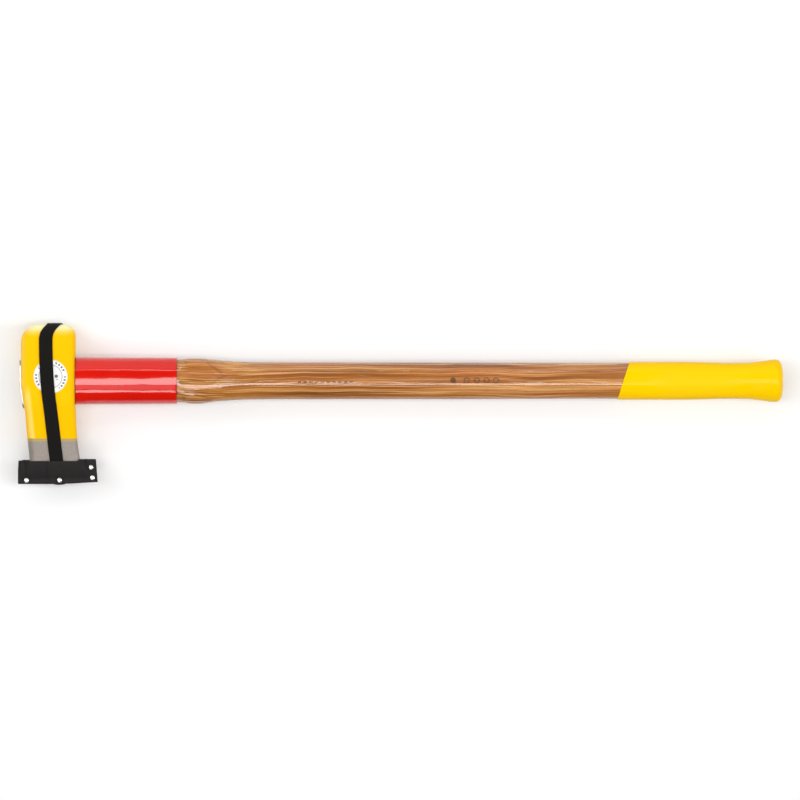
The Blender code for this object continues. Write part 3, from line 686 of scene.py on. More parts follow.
def nickel_material():
    k = Mat("polished_nickel")
    s = k.noise(k.at((900, 260, 900)), 1.0, 4.0, 0.6)
    k.set(
        base_color=k.mix(s, (0.70, 0.68, 0.65), (0.86, 0.85, 0.82)),
        metallic=1.0,
        roughness=k.maprange(s, 0.3, 0.7, 0.24, 0.36),
    )
    k.set(normal=k.bump(s, 0.00003, 0.4))
    return k.m


def plate_material():
    """Bright zinc-plated sheet steel with rolling lines."""
    k = Mat("zinc_plated_steel")
    s = k.noise(k.at((600, 30, 900)), 1.0, 5.0, 0.65)
    sp = k.voronoi(k.at((230, 230, 230)), 1.0, "F1", "Color")
    c = k.mix(s, (0.36, 0.365, 0.36), (0.50, 0.50, 0.49))
    c = k.mix(0.10, c, sp)
    k.set(base_color=c, metallic=0.85, roughness=k.maprange(s, 0.3, 0.7, 0.28, 0.42))
    k.set(normal=k.bump(s, 0.00005, 0.5))
    return k.m


def screw_material():
    k = Mat("yellow_zinc_screw")
    s = k.noise(k.at((700, 700, 700)), 1.0, 4.0, 0.6)
    k.set(
        base_color=k.mix(s, (0.56, 0.52, 0.44), (0.74, 0.71, 0.64)),
        metallic=1.0,
        roughness=k.maprange(s, 0.3, 0.7, 0.22, 0.36),
    )
    k.set(normal=k.bump(s, 0.00004, 0.4))
    return k.m


def label_material():
    """A printed film label with generic marks: a thin ring, ticks round the rim and a small dot with a bar under it.
    """
    k = Mat("printed_film_label")
    x, y, z = k.axes()
    cx, cy = LABEL_AT[0] * MM, LABEL_AT[1] * MM
    dx, dy = k.math("SUBTRACT", x, cx), k.math("SUBTRACT", y, cy)
    r = k.math("SQRT", k.math("ADD", k.math("MULTIPLY", dx, dx), k.math("MULTIPLY", dy, dy)))
    ang = k.math("ARCTAN2", dy, dx)
    thin = k.maprange(k.math("ABSOLUTE", k.math("SUBTRACT", r, 0.0138)), 0.00030, 0.00060, 1.0, 0.0)
    inner = k.maprange(r, 0.0134, 0.0138, 1.0, 0.0)
    rim = k.maprange(k.math("ABSOLUTE", k.math("SUBTRACT", r, 0.0192)), 0.00020, 0.00040, 1.0, 0.0)
    saw = k.math("FRACT", k.math("MULTIPLY", k.math("ADD", ang, math.pi), 27 / (2 * math.pi)))
    tick = k.maprange(k.math("ABSOLUTE", k.math("SUBTRACT", saw, 0.5)), 0.27, 0.32, 1.0, 0.0)
    band = k.maprange(k.math("ABSOLUTE", k.math("SUBTRACT", r, 0.0170)), 0.0011, 0.0013, 1.0, 0.0)
    # ticks stand in groups, with gaps between them
    group = k.math("FRACT", k.math("MULTIPLY", k.math("ADD", ang, math.pi + 0.3), 5 / (2 * math.pi)))
    gap = k.maprange(group, 0.74, 0.78, 1.0, 0.0)
    ticks = k.math("MULTIPLY", k.math("MULTIPLY", tick, band), gap)
    # a plain round dot with a shorter bar under it
    ex, ey = k.math("SUBTRACT", x, cx + 0.0068), k.math("SUBTRACT", y, cy + 0.0004)
    dot = k.math("SQRT", k.math("ADD", k.math("MULTIPLY", ex, ex), k.math("MULTIPLY", ey, ey)))
    wedge = k.maprange(dot, 0.0019, 0.0022, 1.0, 0.0)
    bx = k.maprange(k.math("ABSOLUTE", k.math("SUBTRACT", x, cx + 0.0078)), 0.0012, 0.0015, 1.0, 0.0)
    by = k.maprange(k.math("ABSOLUTE", k.math("SUBTRACT", y, cy - 0.0035)), 0.0005, 0.0008, 1.0, 0.0)
    wedge = k.math("MAXIMUM", wedge, k.math("MULTIPLY", k.math("MULTIPLY", bx, by), 0.6))
    c = k.mix(k.noise(k.at((160, 160, 160)), 1.0, 3.0), (0.84, 0.83, 0.81), (0.90, 0.89, 0.875))
    c = k.mix(k.math("MULTIPLY", inner, 0.8), c, (0.70, 0.70, 0.71))
    c = k.mix(k.math("MULTIPLY", thin, 0.85), c, (0.22, 0.22, 0.23))
    c = k.mix(k.math("MULTIPLY", rim, 0.55), c, (0.40, 0.39, 0.37))
    c = k.mix(k.math("MULTIPLY", ticks, 0.88), c, (0.06, 0.055, 0.055))
    c = k.mix(k.math("MULTIPLY", wedge, 0.88), c, (0.012, 0.011, 0.011))
    k.set(base_color=c, roughness=0.30, specular=0.25)
    k.set(normal=k.bump(k.noise(k.at((240, 240, 240)), 1.0, 2.0), 0.00006, 0.4))
    return k.m


def floor_material():
    k = Mat("white_sweep")
    n = k.noise(k.at((4, 4, 4)), 1.0, 3.0)
    k.set(base_color=k.mix(n, (0.665, 0.665, 0.665), (0.675, 0.675, 0.675)), roughness=0.9, specular=0.0)
    k.b.inputs["Emission Color"].default_value = (1, 1, 1, 1)
    k.b.inputs["Emission Strength"].default_value = 0.215
    return k.m


# ------------------------------------------------------------------ shapes: outlines of the head

POLL_Y, EDGE_Y = 66.5, -114.5
CROWN_SETBACK = 1.2
POLL_ROUND, POLL_CORNER_CROWN, POLL_CORNER_HANDLE, LONG_ROUND = 16.0, 21.0, 13.0, 7.5
EYE_CROWN, EYE_UNDER, EYE_POWER = (23.8, 16.3), (25.7, 17.8), 2.3
SLEEVE_X, SLEEVE_OUT, SLEEVE_WALL = (64.8, 185.0), ((28.1, 21.0), (27.5, 20.5)), 2.0
PLATE_T, PLATE_PROUD, PLATE_Y, PLATE_HALF_Z, PLATE_CORNER = 2.0, 0.6, (-32.5, 24.5), 17.5, 7.0
PLATE_BEND_Y, PLATE_SLOPE = -5.0, 0.145
LABEL_AT, LABEL_R = (36.1, 5.0), 20.0
STRAP_T, STRAP_HALF_W, STRAP_GAP = 1.4, 8.0, 0.3
PLY_T, GUARD_BOTTOM_Y = 1.8, -121.3
RIVETS = ((7.5, -117.3), (46.5, -117.0), (83.6, -102.1), (85.2, -114.2))

half_low = curve_through(
    [
        (-114.5, 0.35),
        (-112.0, 1.7),
        (-105.0, 4.7),
        (-94.0, 7.9),
        (-80.0, 11.5),
        (-67.9, 14.9),
        (-55.0, 18.9),
        (-40.0, 23.6),
        (-25.0, 27.0),
        (-12.0, HEAD_HALF),
    ]
)
under_line = curve_through(
    [(-114.5, 76.2), (-105.0, 73.8), (-94.0, 71.0), (-80.0, 68.7), (-66.0, 67.1), (-45.0, 65.9), (-32.0, 65.3), (-27.0, 64.7), (-20.0, 64.5), (20.0, 64.5), (27.0, 64.7), (32.0, 65.3), (53.0, 65.34)]
)


def half_thickness(y):
    start = POLL_Y - POLL_ROUND
    if y > start:
        d = min(y - start, POLL_ROUND)
        return HEAD_HALF - POLL_ROUND + math.sqrt(max(0.0, POLL_ROUND**2 - d * d))
    return half_low(y)


def crown_x(y):
    x = 0.107 * max(0.0, 9.0 - y) * (0.35 + 0.65 * smoothstep(9.0, -3.0, y))
    start = POLL_Y - POLL_CORNER_CROWN
    if y > start:
        d = min(y - start, POLL_CORNER_CROWN)
        x = POLL_CORNER_CROWN - math.sqrt(max(0.0, POLL_CORNER_CROWN**2 - d * d))
    x += 0.45 + (CROWN_SETBACK - 0.45) * smoothstep(-65.0, -30.0, y)
    # the forging comes up close behind the plate
    behind = smoothstep(-37.0, -31.0, y) * (1 - smoothstep(24.0, 30.0, y))
    return x + (min(x, plate_front(y) + 1.75) - x) * behind


def under_x(y):
    x = under_line(y)
    start = POLL_Y - POLL_CORNER_HANDLE
    if y > start:
        d = min(y - start, POLL_CORNER_HANDLE)
        x += -POLL_CORNER_HANDLE + math.sqrt(max(0.0, POLL_CORNER_HANDLE**2 - d * d))
    return x


def plate_front(y):
    return -PLATE_PROUD + PLATE_SLOPE * max(0.0, PLATE_BEND_Y - y)


def head_ring(y, per=14, flat_x=18, flat_z=10):
    x0, x1, h = crown_x(y), under_x(y), half_thickness(y)
    r = min(LONG_ROUND, 0.75 * h, 0.42 * (x1 - x0))
    corners = ((x1 - r, h - r, 0), (x0 + r, h - r, 90), (x0 + r, -h + r, 180), (x1 - r, -h + r, 270))
    pts = []
    for i, (cx, cz, a0) in enumerate(corners):
        for k in range(per + 1):
            a = math.radians(a0 + 90 * k / per)
            pts.append((cx + r * math.cos(a), y, cz + r * math.sin(a)))
        nx, nz, na = corners[(i + 1) % 4]
        end = (nx + r * math.cos(math.radians(na)), nz + r * math.sin(math.radians(na)))
        here = pts[-1]
        steps = flat_x if i % 2 == 0 else flat_z
        for k in range(1, steps):
            t = k / steps
            pts.append((here[0] + (end[0] - here[0]) * t, y, here[2] + (end[1] - here[2]) * t))
    return pts


def make_head(mat):
    ys = list(np.concatenate([np.linspace(EDGE_Y, -100, 26), np.linspace(-98.5, 45.5, 98)[0:]]))
    ys += [POLL_Y - POLL_CORNER_CROWN * (1 - math.sin(math.radians(3.0 * k))) for k in range(1, 31)]
    ys = sorted(set(round(y, 5) for y in ys))
    rings = []
    for y in ys:
        ring = []
        for x, yy, z in head_ring(y):
            # a forging is never quite true; the ground end is
            amount = 0.16 * smoothstep(-70.0, -50.0, y)
            n = rough_noise((x, yy, z), 0.045, 3.0) + 0.45 * rough_noise((x, yy, z), 0.11, 9.0)
            d = -amount * (0.5 + 0.5 * n)
            mid = Vector((34.0, yy * 0.93, 0.0))
            v = Vector((x, yy, z)) - mid
            v.normalize()
            ring.append((x + v.x * d, yy + v.y * d * 0.6, z + v.z * d))
        rings.append(ring)
    # close the poll with rings that shrink inwards, so its flat shades evenly
    last = rings[-1]
    c = np.mean(last, axis=0)
    for share in (0.86, 0.6, 0.3):
        rings.append([tuple(c + (np.array(p) - c) * share) for p in last])
    head = mesh_piece("head_forging", *loft(rings), mat)
    eye_rows = (
        (-20.0, EYE_CROWN[0] - 0.58, EYE_CROWN[1] - 0.46),
        (0.0, *EYE_CROWN),
        (65.5, *EYE_UNDER),
        (85.0, EYE_UNDER[0] + 0.58, EYE_UNDER[1] + 0.46),
    )
    eye = mesh_piece(
        "cut_eye", *loft([[(x, y, z) for y, z in oval(96, hy, hz, EYE_POWER)] for x, hy, hz in eye_rows]), None
    )
    cut_with(head, [eye, seat_cutter(0.35, PLATE_T + 0.3)])
    return finish_shading(head, 38)


def plate_outline(y0, y1, hz, r, per=10):
    pts = []
    for cy, cz, a0 in (
        (y1 - r, hz - r, 0),
        (y0 + r, hz - r, 90),
        (y0 + r, -hz + r, 180),
        (y1 - r, -hz + r, 270),
    ):
        for k in range(per + 1):
            a = math.radians(a0 + 90 * k / per)
            pts.append((cy + r * math.cos(a), cz + r * math.sin(a)))
    return pts


def soft_front(y):
    """The plate's front with its bend rounded a little."""
    d = PLATE_BEND_Y - y
    s = 1.6
    return -PLATE_PROUD + PLATE_SLOPE * 0.5 * (d + math.sqrt(d * d + s * s))


def seat_cutter(clear, deep):
    ring = plate_outline(PLATE_Y[0] - clear, PLATE_Y[1] + clear, PLATE_HALF_Z + clear, PLATE_CORNER + clear)
    rows = [[(-30.0, y, z) for y, z in ring]]
    rows.append([(plate_front(y) + deep, y, z) for y, z in ring])
    # the bend runs across the floor of the seat: rings shrinking to the middle keep the floor on the bent face
    for share in (0.8, 0.5, 0.2):
        cy = (PLATE_Y[0] + PLATE_Y[1]) / 2
        row = []
        for y, z in ring:
            yy, zz = cy + (y - cy) * share, z * share
            row.append((plate_front(yy) + deep, yy, zz))
        rows.append(row)
    return mesh_piece("cut_seat", *loft(rows), None)


# ------------------------------------------------------------------ handle

handle_half_y = curve_through(
    [
        (0.0, 23.5),
        (65.5, 25.4),
        (185.0, 25.15),
        (187.3, 25.3),
        (194.4, 25.9),
        (201.5, 26.55),
        (211.0, 26.6),
        (224.0, 25.4),
        (235.7, 24.25),
        (247.5, 23.4),
        (259.3, 22.6),
        (282.8, 22.1),
        (377.0, 21.85),
        (542.0, 21.6),
        (684.0, 21.25),
        (731.0, 21.45),
        (778.0, 21.25),
        (801.6, 20.9),
        (834.6, 20.2),
        (848.8, 20.4),
        (858.0, 20.6),
        (867.6, 21.6),
        (877.0, 22.85),
        (883.0, 23.75),
        (886.5, 24.15),
        (891.0, 24.3),
        (896.0, 21.6),
    ]
)
handle_half_z = curve_through(
    [
        (0.0, 16.0),
        (65.5, 17.5),
        (187.3, 18.1),
        (205.0, 19.4),
        (224.0, 18.3),
        (259.3, 16.2),
        (300.0, 15.4),
        (684.0, 15.2),
        (801.6, 15.0),
        (834.6, 14.9),
        (858.0, 15.6),
        (877.0, 18.2),
        (886.5, 19.4),
        (891.0, 18.9),
        (896.0, 16.0),
    ]
)
handle_power = curve_through(
    [(0.0, EYE_POWER), (185.0, EYE_POWER), (200.0, 3.2), (222.0, 3.0), (262.0, 2.25), (700.0, 2.2), (896.0, 2.1)]
)
# where the two shaved ridges run on the upper side, and how flat the wood is between them
ridge_up = curve_through([(187, 19.5), (212, 18.5), (222, 15.0), (232, 10.5), (243, 8.4), (270, 9.4), (420, 9.8), (700, 9.6)])
ridge_low = curve_through([(187, -5.2), (205, -6.4), (222, -6.0), (245, -5.2), (270, -4.8), (420, -4.6), (700, -4.6)])
ridge_flat = curve_through([(186, 0.0), (188, 0.55), (200, 0.85), (225, 0.95), (245, 0.95), (290, 0.94), (700, 0.93), (800, 0.42), (850, 0.15), (868, 0.0)])
ridge_drop = curve_through([(186, 0.2), (205, 0.8), (232, 0.9), (245, 0.6), (290, 0.40), (700, 0.40), (860, 0.0)])
N_ROUND = 120


def top_z(y, hy, hz, p):
    u = min(1.0, abs(y / hy))
    return hz * max(0.0, 1 - u**p) ** (1 / p)


def handle_section(x, grow=0.0, share=1.0, slant=0.0, flats=True):
    base = min(x, 891.0)
    hy, hz, p = handle_half_y(base) * share, handle_half_z(base) * share, handle_power(base)
    pts = []
    w = ridge_flat(x) * share if flats else 0.0
    for y, z in oval(N_ROUND, hy, hz, p):
        xx = x + slant * y
        if w > 0:
            for sign in (1, -1):
                if z * sign <= 0:
                    continue
                lo, up, drop = ridge_low(x), ridge_up(x), ridge_drop(x)
                fade = smoothstep(232.0, 262.0, x) * (1 - smoothstep(690.0, 760.0, x))
                # (lower ridge, upper ridge, how far each is pared down, how flat it is between them)
                flats_here = [(lo, up, 0.0, drop, w)]
                if sign > 0:
                    flats_here += [(-11.3, lo, 0.0, 0.0, 0.9 * fade), (up - 0.4, 13.0, drop, 0.0, 0.45 * fade)]
                else:
                    # the same shaving on the lower side, turned half round
                    flats_here = [(-up, -lo, drop, 0.0, w)]
                for y0, y1, drop0, drop1, amount in flats_here:
                    if amount <= 0:
                        continue
                    z0, z1 = top_z(y0, hy, hz, p) - drop0, top_z(y1, hy, hz, p) - drop1
                    # soft plane through the two ridges, pressed down on by the smaller of it and the oval
                    t = (y - y0) / (y1 - y0)
                    q, r, s = z * sign, z0 + (z1 - z0) * t, 0.35
                    if -0.35 < t < 1.35:
                        soft = 0.5 * (q + r - math.sqrt((q - r) ** 2 + s * s)) + 0.5 * s * 0.6
                        z = sign * (q + (min(q, soft) - q) * amount)
        n = math.hypot(y / hy**2, z / hz**2) or 1.0
        ny, nz = y / hy**2 / n, z / hz**2 / n
        # the shoulder is a little fuller on the edge's side
        full = 0.6 * max(0.0, -y / hy) ** 3 * math.exp(-(((x - 209.0) / 13.0) ** 2)) if flats else 0.0
        pts.append((xx, y + ny * grow - full, z + nz * grow))
    return pts


COAT_T, COAT_GAP, COAT_EDGE_X, COAT_SLANT, KNOB_END_X = 0.6, 0.2, 711.3, 0.33, 900.0


def knob_rows():
    end = KNOB_END_X - COAT_T - COAT_GAP
    out = []
    for share in (0.992, 0.98, 0.96, 0.93, 0.89, 0.84, 0.78, 0.70, 0.60, 0.50, 0.42, 0.35, 0.28):
        out.append((891.0 + (end - 891.0) * (1 - share**3.2) ** (1 / 2.4), share))
    return out


def coat_stations():
    xs = list(np.arange(COAT_EDGE_X + 3.0, 850.0, 5.0)) + list(np.arange(852.0, 891.1, 1.5)) + [891.0]
    return sorted(set(float(round(x, 3)) for x in xs))


def slant_at(x):
    return COAT_SLANT * (1 - smoothstep(COAT_EDGE_X, COAT_EDGE_X + 75.0, x))


def dip_edge(y, z):
    """The dip line's small waves."""
    return 0.35 * noise.noise(Vector((y * 0.13, z * 0.13, 4.0))) + 0.14 * noise.noise(Vector((y * 0.5, z * 0.5, 8.0)))


def make_handle(mat, end_mat):
    xs = [0.0, 20.0, 45.0, 65.5, 95.0, 125.0, 155.0, 176.0, 183.0, 185.6]
    xs += list(np.arange(187.0, 290.0, 1.5)) + list(np.arange(290.0, 660.0, 5.0))
    rings = [handle_section(float(x)) for x in xs]
    # ease into the slanted stations under the coating
    for x, s in ((668.0, 0.06), (676.0, 0.13), (684.0, 0.21), (692.0, 0.27), (700.0, 0.31)):
        rings.append(handle_section(x, slant=s))
    rings.append(handle_section(COAT_EDGE_X, slant=COAT_SLANT))
    rings += [handle_section(x, slant=slant_at(x)) for x in coat_stations()]
    rings += [handle_section(x, share=s) for x, s in knob_rows()]
    last = rings[-1]
    c = np.mean(last, axis=0)
    for share, out in ((0.8, 0.05), (0.5, 0.12), (0.2, 0.16)):
        rings.append([(p[0] + out, c[1] + (p[1] - c[1]) * share, c[2] + (p[2] - c[2]) * share) for p in last])
    handle = mesh_piece("hickory_handle", *loft(rings), mat)
    kerf_rows = [
        [(x, -40, -h), (x, 40, -h), (x, 40, h), (x, -40, h)] for x, h in ((-10.0, 4.15), (57.0, 1.2))
    ]
    kerf = mesh_piece("cut_kerf", *loft(kerf_rows), None)
    hole = turned_piece("cut_hole", screw_profile(0.3, -3.0), (0, 0, 0), None, "X")
    cut_with(handle, [seat_cutter(0.35, PLATE_T + 0.3), kerf, hole])
    handle.data.materials.append(end_mat)
    edge = ORIGIN.x + 897.5 * MM
    for poly in handle.data.polygons:
        if poly.center.x > edge or (poly.center.x < ORIGIN.x + 6 * MM and abs(poly.normal.x) > 0.8):
            poly.material_index = 1
    return finish_shading(handle, 40)


def screw_profile(grow, top):
    return [
        (0.0, 46.0 + grow),
        (0.5 + grow, 46.0 + grow),
        (3.0 + grow, 40.0),
        (3.0 + grow, 4.0),
        (7.0 + grow, -0.05),
        (7.0 + grow, top),
        (0.0, top),
    ]


def make_coat(mat):
    def rows(grow, lip):
        out = []
        # the lip swells a little where the dip stopped
        for k, (dx, g) in enumerate(((0.0, 0.30), (0.35, 0.75), (0.9, 0.98), (1.8, 1.08), (3.5, 1.04))):
            ring = handle_section(COAT_EDGE_X + dx, COAT_GAP + (grow - COAT_GAP) * (g if lip else 1.0), slant=COAT_SLANT)
            out.append([(x + dip_edge(y, z) * (1 - k / 6), y, z) for x, y, z in ring])
        for x in coat_stations():
            if x > COAT_EDGE_X + 3.5:
                out.append(handle_section(x, grow, slant=slant_at(x)))
        kr = knob_rows()
        for i, (x, s) in enumerate(kr):
            g = grow
            if lip and i >= len(kr) - 2:
                g = COAT_GAP + (grow - COAT_GAP) * (0.8, 0.35)[i - len(kr) + 2]
            ring = handle_section(x, 0.0, s)
            # grow along the dome's own normal
            tilt = 1 - s
            cy, cz = 0.0, 0.0
            out.append(
                [
                    (px + g * tilt**0.35, py * (1 + g * s / 24.0 * 0.8), pz * (1 + g * s / 18.0 * 0.8))
                    for px, py, pz in ring
                ]
            )
        return out

    def ragged(rings):
        """The bare spot's outline wanders a little."""
        for j, amount in ((-1, 1.0), (-2, 0.5)):
            ring = rings[j]
            rings[j] = [
                (
                    x,
                    y * (1 + amount * 0.16 * noise.noise(Vector((y * 0.35, z * 0.35, 2.0)))),
                    z * (1 + amount * 0.16 * noise.noise(Vector((y * 0.35, z * 0.35, 2.0)))),
                )
                for x, y, z in ring
            ]
        return rings

    outer = ragged(rows(COAT_T + COAT_GAP, True))
    inner = ragged(rows(COAT_GAP, False))
    return mesh_piece("dipped_grip_coating", *wall(outer, inner), mat, 50)


def make_sleeve(mat):
    def ring(x, wall_in, rim):
        t = (x - SLEEVE_X[0]) / (SLEEVE_X[1] - SLEEVE_X[0])
        hy = SLEEVE_OUT[0][0] * (1 - t) + SLEEVE_OUT[1][0] * t - wall_in
        hz = SLEEVE_OUT[0][1] * (1 - t) + SLEEVE_OUT[1][1] * t - wall_in
        out = []
        for y, z in oval(N_ROUND, hy, hz, EYE_POWER):
            # shallow flats and dents from pressing the tube on
            d = -0.03 - 0.13 * noise.noise(Vector((x * 0.018, y * 0.09, z * 0.09)))
            d -= 0.05 * noise.noise(Vector((x * 0.06, y * 0.2, z * 0.2 + 5)))
            d *= rim
            n = math.hypot(y / hy**2, z / hz**2)
            out.append((x, y + y / hy**2 / n * d, z + z / hz**2 / n * d))
        return out

    a, b = SLEEVE_X
    xs = [a, a + 0.12, a + 0.35, a + 0.7, a + 1.2] + list(np.arange(a + 3, b - 2, 2.0)) + [b - 1.2, b - 0.7, b - 0.35, b - 0.12, b]
    lip = {0: 0.55, 1: 0.30, 2: 0.10, 3: 0.02}
    n = len(xs)
    outer = [ring(x, lip.get(i, lip.get(n - 1 - i, 0.0)), 1.0) for i, x in enumerate(xs)]
    inner = [ring(x, SLEEVE_WALL - lip.get(i, lip.get(n - 1 - i, 0.0)) * 0.5, 0.0) for i, x in enumerate(xs)]
    return mesh_piece("pressed_sleeve", *wall(outer, inner), mat, 50)


# ------------------------------------------------------------------ plate, screw, label


def make_plate(mat):
    ring = plate_outline(*PLATE_Y, PLATE_HALF_Z, PLATE_CORNER, 12)
    # split the long sides so that the bend is smooth
    full = []
    for i, (y, z) in enumerate(ring):
        full.append((y, z))
        ny, nz = ring[(i + 1) % len(ring)]
        steps = max(1, int(math.hypot(ny - y, nz - z) / 1.5))
        for k in range(1, steps):
            full.append((y + (ny - y) * k / steps, z + (nz - z) * k / steps))
    cy = (PLATE_Y[0] + PLATE_Y[1]) / 2
    e = 0.32

    def row(share, shrink, back):
        out = []
        for y, z in full:
            yy = cy + (y - cy) * share * (1 - shrink / 28.0)
            zz = z * share * (1 - shrink / 17.5)
            out.append(((soft_front(yy) + back), yy, zz))
        return out

    rows = [row(s, 0, 0) for s in (0.02, 0.25, 0.5, 0.75, 0.9)]
    rows += [row(1, e, 0.0), row(1, e * 0.3, e * 0.3), row(1, 0, e), row(1, 0, PLATE_T - e), row(1, e, PLATE_T)]
    rows += [row(s, 0, PLATE_T) for s in (0.9, 0.75, 0.5, 0.25, 0.02)]
    plate = mesh_piece("crown_plate", *loft(rows), mat)
    hole = turned_piece("cut_hole", screw_profile(0.3, -3.0), (0, 0, 0), None, "X")
    cut_with(plate, [hole])
    return finish_shading(plate, 35)


def make_screw(mat):
    profile = [(0.0, 46.2), (0.35, 45.8), (2.0, 42.5)]
    # a coarse wood thread, drawn as rings
    x = 42.0
    while x > 12.5:
        grow = min(1.0, (43.0 - x) / 5.0)
        profile += [(2.15 * (0.75 + 0.25 * grow), x), (2.98 * (0.7 + 0.3 * grow), x - 0.55), (2.15 * (0.75 + 0.25 * grow), x - 1.1)]
        x -= 2.4
    profile += [(3.0, 11.0), (3.0, 4.1), (6.75, 0.15), (7.0, -0.1), (6.92, -0.36), (6.6, -0.45), (0.0, -0.45)]
    screw = turned_piece("countersunk_screw", profile, (0, 0, 0), mat, "X", 64, 40)
    hexagon = [
        [(xx, r * math.cos(math.radians(60 * k)), r * math.sin(math.radians(60 * k))) for k in range(6)]
        for xx, r in ((-5.0, 2.9), (2.0, 2.9), (2.9, 1.2))
    ]
    cut_with(screw, [mesh_piece("cut_hex", *loft(hexagon), None, 20)])
    bevel(screw, 0.10, 2, 45)
    return finish_shading(screw, 32)


def make_label(mat):
    z0, t = HEAD_HALF + 0.125, 0.25
    prof = [(0.0, z0 + t)]
    prof += [(r, z0 + t) for r in (4.0, 8.0, 12.0, 16.0, 18.5)]
    prof += [(LABEL_R - 0.10, z0 + t), (LABEL_R - 0.03, z0 + t * 0.8), (LABEL_R, z0 + t * 0.5), (LABEL_R - 0.05, z0), (0.0, z0)]
    return turned_piece("printed_label", prof, (*LABEL_AT, 0), mat, "Z", 120, 50)


# ------------------------------------------------------------------ strap and guard

strap_x_front = curve_through(
    [
        (-124.0, 46.2),
        (-117.0, 46.0),
        (-91.5, 42.7),
        (-73.8, 40.6),
        (-52.6, 38.3),
        (-31.4, 35.7),
        (-10.1, 33.0),
        (11.1, 31.5),
        (35.8, 30.6),
        (50.0, 30.5),
    ]
)
strap_x_back = curve_through([(-124.0, 46.2), (-117.0, 46.3), (-60.0, 46.8), (0.0, 47.6), (50.0, 49.0)])


def strap_inner(y, front):
    h = half_thickness(y) + STRAP_GAP if y > EDGE_Y - 0.5 else 0.0
    h = max(h, 0.38)
    if front:
        h += 0.45 * smoothstep(-31.0, -18.0, y) * (1 - smoothstep(29.0, 40.0, y))
    return h


def strap_line():
    """The strap's inner face once round, finely: (x, y, z)."""
    ys = list(np.concatenate([np.linspace(-121.8, -110.0, 24), np.linspace(-109.0, 49.0, 90)]))
    out = [(strap_x_front(y), y, strap_inner(y, True)) for y in ys]
    r = POLL_ROUND + STRAP_GAP
    arc = [math.radians(a) for a in np.linspace(0, 90, 22)]
    rim = [(POLL_Y - POLL_ROUND + r * math.sin(a), HEAD_HALF - POLL_ROUND + r * math.cos(a)) for a in arc]
    n = len(rim) - 1
    front = curve_through([(0, 30.5), (1.8, 31.9), (4, 35.9), (5.33, 38.4), (6.67, 40.0), (8, 40.5)])
    back = curve_through([(0, 40.9), (3, 44.0), (8, 49.0)])
    out += [(front(8 * k / n), y, z) for k, (y, z) in enumerate(rim)]
    h = HEAD_HALF - POLL_ROUND
    for k in range(1, 12):
        t = k / 12
        out.append((40.6 + (40.9 - 40.6) * t, rim[-1][0], h * (1 - 2 * t)))
    out += [(back(8 * k / n), y, -z) for k, (y, z) in enumerate(reversed(rim))]
    out += [(strap_x_back(y), y, -strap_inner(y, False)) for y in reversed(ys)]
    for a in np.linspace(-75, 75, 9):
        s, c = math.sin(math.radians(a)), math.cos(math.radians(a))
        out.append((46.25, -122.1 - 0.38 * c, 0.38 * s))
    return out


def smooth_line(pts, passes, keep=None):
    pts = np.array(pts, float)
    for _ in range(passes):
        pts = 0.5 * pts + 0.25 * (np.roll(pts, 1, 0) + np.roll(pts, -1, 0))
    return pts


def make_strap(mat):
    line = np.array(strap_line())
    n = len(line)
    # the outward normal lies across the line, in the plane of Y and Z
    tang = np.roll(line, -1, 0) - np.roll(line, 1, 0)
    nrm = np.stack([np.zeros(n), -tang[:, 2], tang[:, 1]], 1)
    nrm = np.stack([np.zeros(n), -tang[:, 2] * 1.0, tang[:, 1] * 1.0], 1)
    nrm /= np.linalg.norm(nrm, axis=1)[:, None]
    for _ in range(2):
        nrm = 0.5 * nrm + 0.25 * (np.roll(nrm, 1, 0) + np.roll(nrm, -1, 0))
    nrm /= np.linalg.norm(nrm, axis=1)[:, None]
    dist = np.concatenate([[0], np.cumsum(np.linalg.norm(np.diff(line, axis=0), axis=1))])
    # cross-section: thin rounded edges, selvedges a touch proud
    us = np.array([-1.0, -0.985, -0.955, -0.90, -0.86, -0.7, -0.4, 0.0, 0.4, 0.7, 0.86, 0.90, 0.955, 0.985, 1.0])
    top = np.array([0.60, 0.82, 0.95, 1.0, 0.93, 0.94, 0.95, 0.95, 0.95, 0.94, 0.93, 1.0, 0.95, 0.82, 0.60])
    low = np.array([0.40, 0.18, 0.05, 0.0, 0.0, 0.0, 0.0, 0.0, 0.0, 0.0, 0.0, 0.0, 0.05, 0.18, 0.40])
    m = len(us)
    verts, along, across = [], [], []
    for i in range(n):
        for j in list(range(m)) + list(range(m - 1, -1, -1))[1:-1]:
            pass
        for j in range(m):
            p = line[i] + nrm[i] * (top[j] * STRAP_T)
            verts.append((p[0] + us[j] * STRAP_HALF_W, p[1], p[2]))
            along.append(dist[i])
            across.append(us[j] * STRAP_HALF_W)
        for j in range(m - 2, 0, -1):
            p = line[i] + nrm[i] * (low[j] * STRAP_T)
            verts.append((p[0] + us[j] * STRAP_HALF_W, p[1], p[2]))
            along.append(dist[i])
            across.append(us[j] * STRAP_HALF_W)
    w = 2 * m - 2
    # where the loop is caught in the guard's seam it is pinched down towards its edges
    for k, (vx, vy, vz) in enumerate(verts):
        if vy < -121.0:
            u = abs(across[k]) / STRAP_HALF_W
            verts[k] = (vx, -121.0 + (vy + 121.0) * 0.62 * (1 - 0.85 * u**2.4), vz)
    faces = []
    for i in range(n):
        a, b = i * w, ((i + 1) % n) * w
        for k in range(w):
            faces.append((a + k, a + (k + 1) % w, b + (k + 1) % w, b + k))
    return mesh_piece("elastic_webbing_loop", verts, faces, mat, 60, attrs={"along": along, "across": across})


GUARD_LEFT = 2.66
GUARD_RIGHT = curve_through([(-121.5, 91.7), (-92.0, 89.4)])
FOLD_STEPS = 18


def guard_top(x, front):
    low, high = (-94.6, -92.2) if front else (-93.3, -92.2)
    return low + (high - low) * smoothstep(66.0, 71.0, x)


